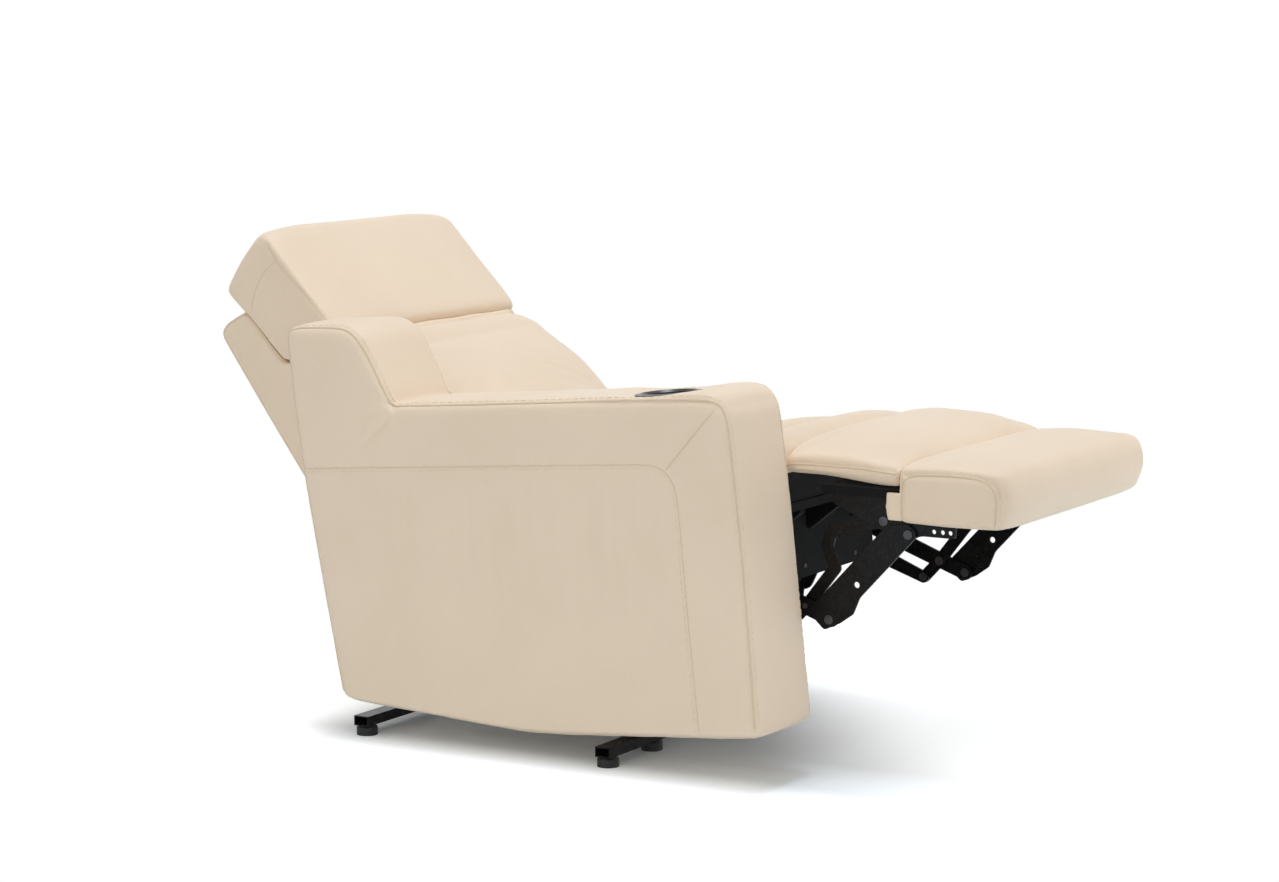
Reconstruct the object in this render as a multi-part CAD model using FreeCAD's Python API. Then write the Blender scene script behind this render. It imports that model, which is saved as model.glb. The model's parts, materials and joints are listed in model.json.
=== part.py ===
import FreeCAD, Part
import math
import os

Vector = FreeCAD.Vector

# A one-armed power recliner from the end of a sofa row, at rest as it stands in the picture:
# back laid down, legrest out, seat moved forward on its wall-saving base.
# Everything is first described closed: y runs back from the front feet, z up from the floor,
# x across from the middle of the whole width. The legrest alone is described opened.
# All sizes are millimetres, all angles degrees.

# Seat unit
OVERALL_WIDTH = 810.0
ARM_WIDTH = 195.0
SIDE_GAP = 5.0              # between the arm and what moves or sits beside it
SOFT_GAP = 0.3              # between soft pieces that lie against each other

# Arm
ARM_FRONT = -202.0
ARM_REAR = 681.0
ARM_UNDERSIDE = 42.0
ARM_TOP = 612.0
WING_TOP = 758.0
WING_DEPTH = 148.0          # front to back along the top of the wing
WING_SLOPE = 23.3           # of its front, from upright
ARM_UPSWEEP = 53.0          # rise of the underside at the rear corner
ARM_EDGE_RADIUS = 14.0
ARM_BRACKET_PLACES = (180.0, 275.0)
ARM_BRACKET_WIDTH = 40.0
ARM_BRACKET_BOTTOM = 262.0
ARM_BRACKET_TOP = 330.0
CUP_BORE = 88.0
CUP_RIM = 120.0
CUP_DEPTH = 78.0
CUP_WALL = 2.5
CUP_SETBACK = 171.0         # cup centre behind the arm's front
PANEL_LENGTH = 128.0
PANEL_HEIGHT = 44.0
PANEL_DEPTH = 14.0
PANEL_FACE = 3.0
PANEL_SETBACK = 250.0
BUTTON_LENGTH = 26.0
BUTTON_HEIGHT = 13.0
BUTTON_PROUD = 2.5
BUTTON_TRAVEL = 1.5
BUTTON_CLEARANCE = 0.4

# Base on the floor
FOOT_SPAN = 501.0           # front feet to rear feet
GLIDE_DIAMETER = 38.0
GLIDE_HEIGHT = 18.0
GLIDE_STEM = 8.0
CROSS_TUBE_WIDTH = 30.0
CROSS_TUBE_HEIGHT = 18.0
CROSS_TUBE_WALL = 2.0
RAIL_HEIGHT = 34.0
RAIL_FLANGE = 28.0
FOOT_INSET = 55.0           # outer foot from the outside of the arm
FAR_FOOT_INSET = 74.0       # from the open side of the seat
INNER_FOOT_OFFSET = 59.0    # second foot outside the base rail
INLET_BORE = 7.0
INLET_DEPTH = 12.0

# Steel mechanism
PLATE = 4.0
PLATE_GAP = 2.0
FIRST_GAP = 4.0             # between side plate and first link
MECHANISM_MARGIN = 53.0     # side plate inside the seat's own side
PIN_RADIUS = 5.0
PIN_CLEARANCE = 0.3
RIVET_HEAD_RADIUS = 8.0
RIVET_HEAD = 1.2
BIG_HEAD = 2.5
SIDE_PLATE_BOTTOM = 180.0
SIDE_PLATE_TOP = 341.0
SIDE_PLATE_REAR = 522.0
TORQUE_TUBE_RADIUS = 12.5
FRAME_TUBE_RADIUS = 12.5
FRAME_TUBE_WALL = 2.0
DRIVE_TUBE_RADIUS = 11.0

# Recline of the back, and the way the seat moves forward and tips as it does
RECLINE_ANGLE = 27.0
SEAT_TILT = 5.0
SEAT_SHIFT = 120.0
SEAT_DROP = -20.0
FRONT_ROCKER_PIVOT = (100.0, 200.0)
REAR_ROCKER_PIVOT = (380.0, 200.0)
FRONT_ROCKER_LENGTH = 165.0
REAR_ROCKER_LENGTH = 156.0
ROCKER_RADIUS = 15.0
REAR_ROCKER_PLAY = 2.6      # free play in the eye that closes the loop
BACK_HINGE = (498.0, 249.0)
BACK_LINK_LUG = (455.0, 230.0)
BACK_LINK_LENGTH = 170.0
BACK_LINK_RADIUS = 12.0
BACK_LINK_PLAY = 0.9
BACK_DRIVE_TUBE = (530.0, 200.0)

# Legrest linkage, opened
LEGREST_SWING = 85.0
LEG_ARM_PIVOT = (-20.0, 311.0)
LEG_ARM_END = (-235.0, 208.0)
COUPLER_RISE = 144.0
CROSSING_SHARE = 0.78       # where the hooked link crosses the leg arm
LINK_SPACING = 0.2          # of the coupler's reach, between the two leg arms
LINK_RADIUS = 14.0
THIN_LINK_RADIUS = 11.0
LEGREST_ORIGIN = (-165.0, 477.0)
LEGREST_SLOPE = 5.0

# Legrest pads, along the legrest from its rear edge
LEG_PAD_LENGTH = 228.0
COUPLER_SETBACK = 68.0      # the coupler reaches this much less far than the pad
LEG_PAD_BORDER = 30.0
LEG_PAD_CROWN = 52.0
FOOT_BOX_LENGTH = 180.0
FOOT_BOX_DEPTH = 84.0
FOOT_BOX_CROWN = 15.0
FOOT_BOX_NOSE = 19.0
LEGREST_NEAR_GAP = 15.0     # from the seat's edge beside the arm
LEGREST_FAR_GAP = 5.0
LEG_BOARD = 15.0
LEG_BOARD_START = 78.0      # clear of the seat when the legrest is folded
FOOT_BOX_MARGIN = 26.0

# Seat
SEAT_FRONT = -160.0
BOLSTER_BACK = -44.0
BOLSTER_TOP = 521.0
SEAT_REAR = 468.0
SEAT_FRONT_TOP = 518.0
SEAT_REAR_TOP = 457.0
SEAT_CROWN = 26.0
DECK_TOP = 400.0
WEBBING = 1.5
WEBBING_WIDTH = 60.0
RAIL_TIMBER = 25.0
BOARD = 18.0
FRONT_BOARD_FACE = -62.0
FRONT_BOARD_BOTTOM = 244.0
REAR_RAIL_DEPTH = 25.0
REAR_RAIL_BOTTOM = 345.0

# Back and headrest, upright
BACK_FOOT = (322.0, 480.0)
BACK_BULGE = (384.0, 630.0)
BACK_CUSHION_TOP = (453.0, 755.0)
BACK_CUSHION_REAR_TOP = 530.0
BACK_CUSHION_REAR_FOOT = 480.0
BACK_CROWN = 30.0
SHELL_REAR_TOP = (706.0, 920.0)
SHELL_REAR_WAIST = (680.0, 588.0)
SHELL_FOOT = (640.0, 250.0)
SHELL_LIP = (632.0, 908.0)
SHELL_SHOULDER = (607.0, 787.0)
SHELL_WALL = 13.0
LOW_RAIL_FOOT = (590.0, 359.0)
LOW_RAIL_SIZE = (25.0, 50.0)
MIDDLE_RAIL_FOOT = (546.0, 520.0)
MIDDLE_RAIL_SIZE = (20.0, 70.0)
NECK_RAIL_FOOT = (577.0, 728.0)
NECK_RAIL_SIZE = (20.0, 36.0)
TOP_RAIL_FOOT = (648.0, 830.0)
TOP_RAIL_SIZE = (20.0, 45.0)
HEADREST_PIVOT = (505.0, 768.0)
HEADREST_ANGLE = 30.0
HEADREST_NOSE = (466.0, 784.0)
HEADREST_TOP = 1038.0
HEADREST_TOP_FRONT = 515.0
HEADREST_TOP_REAR = (646.0, 968.0)
HEADREST_HEEL = (627.0, 909.0)
HEADREST_SEAT = (600.0, 790.0)
HEADREST_CROWN = 17.0
HEADREST_TUBE_RADIUS = 7.0
HEADREST_TUBE_MARGIN = 155.0    # tube's end inside the seat's own side
HEADREST_BOARD_MARGIN = 95.0
HEADREST_BOARD_FOOT = (578.0, 806.0)
HEADREST_BOARD_HEAD = (604.0, 925.0)
HEADREST_LUG_RADIUS = 48.0
HEADREST_LUG_ANGLE = -5.0
HEADREST_EYE_PLAY = 1.8

# Linear drives
RECLINE_DRIVE_PIVOT = (160.0, 215.0)
RECLINE_DRIVE_OFFSET = 100.0    # to the side of the seat's middle
RECLINE_EYE_PLAY = 2.0
LEG_DRIVE_OFFSET = -40.0
LEG_CRANK = 40.0
LEG_CRANK_PLAY = 2.9
DRIVE_TUBE_OUTER = 15.0
DRIVE_ROD_RADIUS = 9.0
ROD_CLEARANCE = 0.3
MOTOR_RADIUS = 24.0
MOTOR_LENGTH = 110.0
GEARBOX_LENGTH = 60.0
FRONT_FRAME_TUBE = (160.0, 285.0)
REAR_FRAME_TUBE = (400.0, 285.0)

NODES = {}


# Points in the side plane are (y, z)
def turned(point, angle, about=(0.0, 0.0)):
    c = math.cos(math.radians(angle))
    s = math.sin(math.radians(angle))
    y = point[0] - about[0]
    z = point[1] - about[1]
    return (about[0] + y * c - z * s, about[1] + y * s + z * c)


def plus(a, b):
    return (a[0] + b[0], a[1] + b[1])


def minus(a, b):
    return (a[0] - b[0], a[1] - b[1])


def scaled(a, k):
    return (a[0] * k, a[1] * k)


def length(a):
    return math.hypot(a[0], a[1])


def direction(a, b):
    return math.degrees(math.atan2(b[1] - a[1], b[0] - a[0]))


def polar(angle, radius):
    return (radius * math.cos(math.radians(angle)), radius * math.sin(math.radians(angle)))


# Where the seat's own pieces lie when the chair is reclined
def reclined(point):
    return turned(minus(point, (SEAT_SHIFT, SEAT_DROP)), -SEAT_TILT)


def back_reclined(point):
    return reclined(turned(point, -RECLINE_ANGLE, BACK_HINGE))


# Pivot on the base that is one link length from both ends of a point's travel
def pivot_below(start, end, link_length):
    half = length(minus(end, start)) / 2
    middle = scaled(plus(start, end), 0.5)
    rise = math.sqrt(link_length ** 2 - half ** 2)
    across = polar(direction(start, end) + 90, rise)
    first = plus(middle, across)
    second = minus(middle, across)
    return first if first[1] < second[1] else second


# Solids. Every outline lies in the side plane and is pushed out along x.
def vec(point, x=0.0):
    return Vector(x, point[0], point[1])


# Closed wire through (y, z, radius) corners, each rounded by a tangent arc
def outline(corners, x=0.0):
    count = len(corners)
    pieces = []
    for i in range(count):
        here = corners[i]
        before = corners[i - 1]
        after = corners[(i + 1) % count]
        back = minus(before, here)
        ahead = minus(after, here)
        turn = math.radians(direction(here, after) - direction(before, here))
        turn = abs(math.atan2(math.sin(turn), math.cos(turn)))
        trim = here[2] * math.tan(turn / 2)
        trim = min(trim, 0.48 * length(back), 0.48 * length(ahead))
        if trim < 0.01:
            pieces.append((here, here, here))
            continue
        start = plus(here, scaled(back, trim / length(back)))
        end = plus(here, scaled(ahead, trim / length(ahead)))
        middle = scaled(plus(start, end), 0.5)
        radius = trim / math.tan(turn / 2)
        reach = length(minus(middle, here))
        depth = radius / math.cos(turn / 2) - radius
        pieces.append((start, plus(here, scaled(minus(middle, here), depth / reach)), end))
    edges = []
    for i in range(count):
        start, middle, end = pieces[i]
        following = pieces[(i + 1) % count][0]
        if length(minus(end, start)) > 0.01:
            edges.append(Part.Arc(vec(start, x), vec(middle, x), vec(end, x)).toShape())
        edges.append(Part.LineSegment(vec(end, x), vec(following, x)).toShape())
    return Part.Wire(edges)


def slab(corners, x0, x1):
    face = Part.Face(outline(corners, x0))
    return face.extrude(Vector(x1 - x0, 0, 0))


def rod(point, radius, x0, x1):
    return Part.makeCylinder(radius, x1 - x0, vec(point, x0), Vector(1, 0, 0))


def pipe(point, radius, wall, x0, x1):
    return rod(point, radius, x0, x1).cut(rod(point, radius - wall, x0, x1))


def block(x0, x1, y0, y1, z0, z1):
    return Part.makeBox(x1 - x0, y1 - y0, z1 - z0, Vector(x0, y0, z0))


# Flat bar with round ends about two pivots
def bar(a, b, radius_a, radius_b, x0, x1):
    along = direction(a, b)
    lean = math.degrees(math.acos((radius_a - radius_b) / length(minus(b, a))))
    a_high = plus(a, polar(along + lean, radius_a))
    a_low = plus(a, polar(along - lean, radius_a))
    b_high = plus(b, polar(along + lean, radius_b))
    b_low = plus(b, polar(along - lean, radius_b))
    a_end = plus(a, polar(along + 180, radius_a))
    b_end = plus(b, polar(along, radius_b))
    edges = [
        Part.LineSegment(vec(a_high, x0), vec(b_high, x0)).toShape(),
        Part.Arc(vec(b_high, x0), vec(b_end, x0), vec(b_low, x0)).toShape(),
        Part.LineSegment(vec(b_low, x0), vec(a_low, x0)).toShape(),
        Part.Arc(vec(a_low, x0), vec(a_end, x0), vec(a_high, x0)).toShape(),
    ]
    return Part.Face(Part.Wire(edges)).extrude(Vector(x1 - x0, 0, 0))


def fused(solids):
    whole = solids[0].multiFuse(solids[1:])
    return whole.removeSplitter()


def cut(solid, tools):
    for tool in tools:
        solid = solid.cut(tool)
    return solid


# Crowned soft form: a side outline that swells from the seams at its ends to the middle
def crowned(section, x0, x1):
    wires = []
    for u in (-1.0, -0.97, -0.9, -0.7, -0.35, 0.0, 0.35, 0.7, 0.9, 0.97, 1.0):
        swell = math.sqrt(1 - abs(u) ** 6)
        x = (x0 + x1) / 2 + u * (x1 - x0) / 2
        wires.append(outline(section(swell), x))
    return Part.makeLoft(wires, True, False)


# Side-by-side placing: distances are measured out from the seat's middle
SEAT_LEFT = -OVERALL_WIDTH / 2 + ARM_WIDTH + SIDE_GAP
SEAT_RIGHT = OVERALL_WIDTH / 2
SEAT_MIDDLE = (SEAT_LEFT + SEAT_RIGHT) / 2
SEAT_HALF = (SEAT_RIGHT - SEAT_LEFT) / 2
ARM_OUTER = -OVERALL_WIDTH / 2
ARM_INNER = ARM_OUTER + ARM_WIDTH


def both(build, inner, outer):
    left = build(SEAT_MIDDLE - outer, SEAT_MIDDLE - inner)
    right = build(SEAT_MIDDLE + inner, SEAT_MIDDLE + outer)
    return [left, right]


PLATE_OUTER = SEAT_HALF - MECHANISM_MARGIN
PLATE_INNER = PLATE_OUTER - PLATE


# Inner and outer distance of a link layer outside the side plates
def layer(number):
    inner = PLATE_OUTER + FIRST_GAP + (number - 1) * (PLATE + PLATE_GAP)
    return inner, inner + PLATE


LOWER_LAYER, HOOK_LAYER, ARM_LAYER, COUPLER_LAYER = [layer(n) for n in (1, 2, 3, 4)]
ROCKER_OUTER = PLATE_INNER - 0.5
ROCKER_INNER = ROCKER_OUTER - PLATE
RAIL_OUTER = ROCKER_INNER - PLATE_GAP
RAIL_INNER = RAIL_OUTER - PLATE

# Pivots worked out from the two ends of the travel
FRONT_BASE_PIVOT = pivot_below(FRONT_ROCKER_PIVOT, reclined(FRONT_ROCKER_PIVOT), FRONT_ROCKER_LENGTH)
REAR_BASE_PIVOT = pivot_below(REAR_ROCKER_PIVOT, reclined(REAR_ROCKER_PIVOT), REAR_ROCKER_LENGTH)
BACK_LINK_PIVOT = pivot_below(BACK_LINK_LUG, back_reclined(BACK_LINK_LUG), BACK_LINK_LENGTH)

# Legrest linkage: two equal leg arms, and two links that only shift
COUPLER_REACH = (COUPLER_SETBACK - LEG_PAD_LENGTH, COUPLER_RISE)
COUPLER_END = plus(LEG_ARM_END, COUPLER_REACH)
CROSSING = plus(LEG_ARM_PIVOT, scaled(minus(LEG_ARM_END, LEG_ARM_PIVOT), CROSSING_SHARE))
SPACING = scaled(COUPLER_REACH, -LINK_SPACING)
LOWER_ARM_PIVOT = plus(LEG_ARM_PIVOT, SPACING)
LOWER_ARM_END = plus(CROSSING, SPACING)
HOOK_END = plus(CROSSING, COUPLER_REACH)


# Point of the opened legrest, s forward from its rear edge and t up from its seam
def on_legrest(s, t, radius=None):
    forward = polar(180 + LEGREST_SLOPE, s)
    upward = polar(90 + LEGREST_SLOPE, t)
    point = plus(LEGREST_ORIGIN, plus(forward, upward))
    return point if radius is None else (point[0], point[1], radius)


# Place of a group at rest
def on_base(shape):
    return shape


def on_seat(shape):
    shape.translate(Vector(0, -SEAT_SHIFT, -SEAT_DROP))
    shape.rotate(Vector(0, 0, 0), Vector(1, 0, 0), -SEAT_TILT)
    return shape


def on_back(shape):
    shape.rotate(vec(BACK_HINGE), Vector(1, 0, 0), -RECLINE_ANGLE)
    return on_seat(shape)


def node(name, place, solids):
    NODES[name] = Part.makeCompound([place(solid.copy()) for solid in solids])


# Rivet through several plates with a head at each end, d from the seat's middle
def rivets(point, inner, outer, head_inner=RIVET_HEAD, head_outer=RIVET_HEAD, radius=PIN_RADIUS):
    def side(sign):
        a = SEAT_MIDDLE + sign * inner
        b = SEAT_MIDDLE + sign * outer
        solids = [rod(point, radius, min(a, b), max(a, b))]
        head = radius + RIVET_HEAD_RADIUS - PIN_RADIUS
        if head_inner > 0:
            c = a - sign * head_inner
            solids.append(rod(point, head, min(a, c), max(a, c)))
        if head_outer > 0:
            c = b + sign * head_outer
            solids.append(rod(point, head, min(b, c), max(b, c)))
        return fused(solids)

    return [side(-1), side(1)]


# Base: cross tubes on glides, angle rails with the rocker pivots
def base():
    tube_bottom = GLIDE_HEIGHT
    tube_top = tube_bottom + CROSS_TUBE_HEIGHT
    half = CROSS_TUBE_WIDTH / 2
    left = ARM_OUTER + FOOT_INSET
    right = SEAT_RIGHT - FAR_FOOT_INSET
    inner_foot = SEAT_MIDDLE - RAIL_OUTER - INNER_FOOT_OFFSET
    margin = GLIDE_DIAMETER / 2

    def cross_tube(y):
        outer = block(left - margin, right + margin, y - half, y + half, tube_bottom, tube_top)
        wall = CROSS_TUBE_WALL
        hollow = block(left - margin, right + margin, y - half + wall, y + half - wall,
                       tube_bottom + wall, tube_top - wall)
        return outer.cut(hollow)

    node("base_cross_tubes", on_base, [cross_tube(0.0), cross_tube(FOOT_SPAN)])

    def glide(x, y):
        body = Part.makeCylinder(GLIDE_DIAMETER / 2, GLIDE_HEIGHT, Vector(x, y, 0))
        edges = [e for e in body.Edges if isinstance(e.Curve, Part.Circle)]
        top = [e for e in edges if e.CenterOfMass.z > GLIDE_HEIGHT / 2]
        return body.makeChamfer(GLIDE_HEIGHT / 4, top)

    feet = [(left, 0.0), (inner_foot, 0.0), (right, 0.0), (left, FOOT_SPAN), (right, FOOT_SPAN)]
    x = SEAT_MIDDLE + 130
    face = FOOT_SPAN + half
    inlet = block(x - 22, x + 22, face, face + 26, tube_bottom + 2, tube_bottom + 28)
    edges = [e for e in inlet.Edges if e.BoundBox.YMin > face + 25]
    inlet = inlet.makeFillet(3, edges)
    middle = Vector(x, face + 27, tube_bottom + 15)
    inlet = inlet.cut(Part.makeCylinder(INLET_BORE / 2, INLET_DEPTH + 1, middle, Vector(0, -1, 0)))
    node("power_inlet", on_base, [inlet])
    node("foot_glides", on_base, [glide(x, y) for x, y in feet])

    rail_top = tube_top + RAIL_HEIGHT
    start = -half
    end = FOOT_SPAN + half
    lobe = ROCKER_RADIUS

    def rail(x0, x1):
        web = slab([(start, tube_top, 0), (end, tube_top, 0), (end, rail_top, 14),
                    (start, rail_top, 14)], x0, x1)
        tabs = [bar((p[0], rail_top - lobe), p, lobe, lobe, x0, x1) if p[1] > rail_top - lobe + 1
                else rod(p, lobe, x0, x1)
                for p in (FRONT_BASE_PIVOT, REAR_BASE_PIVOT, BACK_LINK_PIVOT)]
        floor = block(x0, x1, start - lobe, end + lobe, 0, tube_top)
        solid = cut(fused([web] + tabs), [floor])
        if x0 < SEAT_MIDDLE:
            flange = block(x0, x0 + RAIL_FLANGE, start, end, tube_top, tube_top + PLATE)
        else:
            flange = block(x1 - RAIL_FLANGE, x1, start, end, tube_top, tube_top + PLATE)
        solid = fused([solid, flange])
        holes = [rod(p, PIN_RADIUS, x0 - 1, x1 + 1)
                 for p in (FRONT_BASE_PIVOT, REAR_BASE_PIVOT, BACK_LINK_PIVOT)]
        return cut(solid, holes)

    node("base_rails", on_base, both(rail, RAIL_INNER, RAIL_OUTER))

    pins = []
    for p in (FRONT_BASE_PIVOT, REAR_BASE_PIVOT):
        pins += rivets(p, RAIL_INNER, ROCKER_OUTER, BIG_HEAD, BIG_HEAD)
    pins += rivets(BACK_LINK_PIVOT, RAIL_INNER, HOOK_LAYER[1], BIG_HEAD, BIG_HEAD)
    node("base_pivot_pins", on_base, pins)


def eye_bar(a, b, radius, hole_a, hole_b):
    def build(x0, x1):
        solid = bar(a, b, radius, radius, x0, x1)
        return cut(solid, [rod(a, hole_a, x0 - 1, x1 + 1), rod(b, hole_b, x0 - 1, x1 + 1)])
    return build


def rockers():
    running = PIN_RADIUS + PIN_CLEARANCE
    front = eye_bar(FRONT_BASE_PIVOT, reclined(FRONT_ROCKER_PIVOT), ROCKER_RADIUS, running, running)
    node("front_rocker_links", on_base, both(front, ROCKER_INNER, ROCKER_OUTER))
    loose = running + REAR_ROCKER_PLAY
    rear = eye_bar(REAR_BASE_PIVOT, reclined(REAR_ROCKER_PIVOT), ROCKER_RADIUS, running, loose)
    node("rear_rocker_links", on_base, both(rear, ROCKER_INNER, ROCKER_OUTER))
    loose = running + BACK_LINK_PLAY
    back = eye_bar(BACK_LINK_PIVOT, back_reclined(BACK_LINK_LUG), BACK_LINK_RADIUS, running, loose)
    node("back_drive_links", on_base, both(back, *HOOK_LAYER))


# Seat frame: side plates, cross tubes, timber rim and webbing
def seat_frame():
    lower = SIDE_PLATE_BOTTOM
    upper = SIDE_PLATE_TOP
    front = LEG_ARM_PIVOT[0] - PIN_RADIUS - LINK_RADIUS
    rear = SIDE_PLATE_REAR
    hinge = BACK_HINGE
    lobe = rear - hinge[0]

    def side_plate(x0, x1):
        solid = slab([
            (front, LEG_ARM_PIVOT[1] - 26, 14),
            (LOWER_ARM_PIVOT[0] + 26, LOWER_ARM_PIVOT[1] - 34, 20),
            (FRONT_ROCKER_PIVOT[0] - 22, lower, 20),
            (REAR_ROCKER_PIVOT[0] + 20, lower, 30),
            (hinge[0] - 8, hinge[1] - lobe, 12),
            (rear, hinge[1] - lobe, lobe),
            (rear, upper, 10),
            (front, upper, 12),
        ], x0, x1)
        if x0 < SEAT_MIDDLE:
            flange = block(x0, x0 + 22, front + 14, rear - 14, upper, upper + PLATE)
            skirt = block(x0, x1, front + 14, rear - 14, upper - 1, upper + PLATE)
        else:
            flange = block(x1 - 22, x1, front + 14, rear - 14, upper, upper + PLATE)
            skirt = block(x0, x1, front + 14, rear - 14, upper - 1, upper + PLATE)
        solid = fused([solid, flange, skirt])
        pins = [FRONT_ROCKER_PIVOT, REAR_ROCKER_PIVOT, LEG_ARM_PIVOT, hinge]
        holes = [rod(p, PIN_RADIUS, x0 - 1, x1 + 1) for p in pins]
        holes.append(rod(LOWER_ARM_PIVOT, TORQUE_TUBE_RADIUS + PIN_CLEARANCE, x0 - 1, x1 + 1))
        holes += [rod((y, upper - 40), 9, x0 - 1, x1 + 1) for y in (235.0, 275.0, 315.0)]
        return cut(solid, holes)

    node("side_plates", on_seat, both(side_plate, PLATE_INNER, PLATE_OUTER))

    x0 = SEAT_MIDDLE - PLATE_INNER
    x1 = SEAT_MIDDLE + PLATE_INNER
    tubes = [pipe(p, FRAME_TUBE_RADIUS, FRAME_TUBE_WALL, x0, x1)
             for p in (FRONT_FRAME_TUBE, REAR_FRAME_TUBE)]
    ears, drive_pin = recline_drive_mount()
    node("seat_cross_tubes", on_seat, tubes + ears)

    pins = []
    for p in (FRONT_ROCKER_PIVOT, REAR_ROCKER_PIVOT):
        pins += rivets(p, ROCKER_INNER, PLATE_OUTER, RIVET_HEAD, BIG_HEAD)
    pins += rivets(LEG_ARM_PIVOT, PLATE_INNER, ARM_LAYER[1], BIG_HEAD, BIG_HEAD)
    pins += rivets(BACK_HINGE, PLATE_INNER, LOWER_LAYER[1], BIG_HEAD, BIG_HEAD)
    node("seat_pivot_pins", on_seat, pins + [drive_pin])

    rail_bottom = SIDE_PLATE_TOP + PLATE
    rear_rail = SEAT_REAR + 2
    rail_outer = PLATE_OUTER + 20
    rail_inner = rail_outer - RAIL_TIMBER
    board_back = FRONT_BOARD_FACE + BOARD

    def side_rail(x0, x1):
        return block(x0, x1, board_back, rear_rail, rail_bottom, DECK_TOP)

    wide0 = SEAT_MIDDLE - rail_outer
    wide1 = SEAT_MIDDLE + rail_outer
    back_rail = block(wide0, wide1, rear_rail, rear_rail + REAR_RAIL_DEPTH, REAR_RAIL_BOTTOM, DECK_TOP)
    node("seat_timber_rails", on_seat, both(side_rail, rail_inner, rail_outer) + [back_rail])

    lower_board = block(x0 + 1, x1 - 1, FRONT_BOARD_FACE, board_back, FRONT_BOARD_BOTTOM, DECK_TOP)
    upper_board = block(wide0, wide1, FRONT_BOARD_FACE, board_back, rail_bottom, DECK_TOP)
    node("seat_front_board", on_seat, [fused([lower_board, upper_board])])

    shelf_front = SEAT_FRONT + 10
    corbel_place = 0.56 * SEAT_HALF
    shelf = block(SEAT_LEFT + 5, SEAT_RIGHT - 5, shelf_front, FRONT_BOARD_FACE, DECK_TOP - 15, DECK_TOP)
    corbels = [slab([(FRONT_BOARD_FACE, DECK_TOP - 15, 0), (FRONT_BOARD_FACE, DECK_TOP - 75, 4),
                     (shelf_front + 8, DECK_TOP - 22, 4), (shelf_front + 8, DECK_TOP - 15, 0)],
                    x - 10, x + 10)
               for x in (SEAT_MIDDLE - corbel_place, SEAT_MIDDLE, SEAT_MIDDLE + corbel_place)]
    node("seat_front_shelf", on_seat, [fused([shelf] + corbels)])

    webs = []
    count = 6
    pitch = 2 * rail_inner / count
    for i in range(count):
        x = SEAT_MIDDLE - rail_inner + (i + 0.5) * pitch
        webs.append(block(x - WEBBING_WIDTH / 2, x + WEBBING_WIDTH / 2, FRONT_BOARD_FACE + 4,
                          rear_rail + REAR_RAIL_DEPTH - 4, DECK_TOP, DECK_TOP + WEBBING))
    for i in range(4):
        y = board_back + (i + 0.5) * (rear_rail - board_back) / 4
        webs.append(block(wide0 + 4, wide1 - 4, y - WEBBING_WIDTH / 2, y + WEBBING_WIDTH / 2,
                          DECK_TOP + WEBBING, DECK_TOP + 2 * WEBBING))
    node("seat_webbing", on_seat, webs)

    def panel(x0, x1):
        return block(x0, x1, board_back, rear_rail, rail_bottom, DECK_TOP)

    side = SEAT_RIGHT - SEAT_MIDDLE
    fillers = both(panel, rail_outer, side - 4)
    node("seat_side_fillers", on_seat, fillers)


def seat_cushions():
    bottom = DECK_TOP + 2 * WEBBING + SOFT_GAP
    front = BOLSTER_BACK + SOFT_GAP

    def cushion(swell):
        drop = SEAT_CROWN * (1 - swell)
        pull = 6 * (1 - swell)
        return [
            (front + pull, bottom, 8),
            (front + pull, SEAT_FRONT_TOP - drop, 24),
            (front + 100, SEAT_FRONT_TOP - 12 - drop, 160),
            (front + 195, SEAT_REAR_TOP + 20 - drop, 160),
            (SEAT_REAR - pull, SEAT_REAR_TOP - drop, 20),
            (SEAT_REAR - pull, bottom, 8),
        ]

    node("seat_cushion", on_seat, [crowned(cushion, SEAT_LEFT, SEAT_RIGHT)])

    shelf = DECK_TOP + SOFT_GAP
    board = FRONT_BOARD_FACE

    def bolster(swell):
        drop = SEAT_CROWN * (1 - swell)
        pull = 8 * (1 - swell)
        return [
            (SEAT_FRONT + 12 + pull, shelf, 14),
            (SEAT_FRONT + pull, (shelf + BOLSTER_TOP - drop) / 2, 60),
            (SEAT_FRONT + 14 + pull, BOLSTER_TOP - drop, 40),
            (BOLSTER_BACK - pull, BOLSTER_TOP - drop, 24),
            (BOLSTER_BACK - pull, shelf + 6, 6),
            (board, shelf + 6, 0),
            (board, shelf, 0),
        ]

    node("front_bolster", on_seat, [crowned(bolster, SEAT_LEFT, SEAT_RIGHT)])


# Where the wing's sloping front meets the arm's top
def wing_foot():
    return ARM_REAR - WING_DEPTH - math.tan(math.radians(WING_SLOPE)) * (WING_TOP - ARM_TOP)


def arm_outline():
    wing_front = ARM_REAR - WING_DEPTH
    return [
        (ARM_FRONT, ARM_UNDERSIDE, 14),
        ((ARM_FRONT + ARM_REAR) / 2, ARM_UNDERSIDE, 900),
        (ARM_REAR - 59, ARM_UNDERSIDE + ARM_UPSWEEP, 22),
        (ARM_REAR - 15, (ARM_UNDERSIDE + WING_TOP) / 2 + 88, 500),
        (ARM_REAR, WING_TOP, 38),
        (wing_front, WING_TOP - 2, 60),
        (wing_foot(), ARM_TOP + 3, 24),
        (ARM_FRONT + 20, ARM_TOP, 42),
        (ARM_FRONT + 10, (ARM_UNDERSIDE + ARM_TOP) / 2 + 80, 400),
    ]


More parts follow.
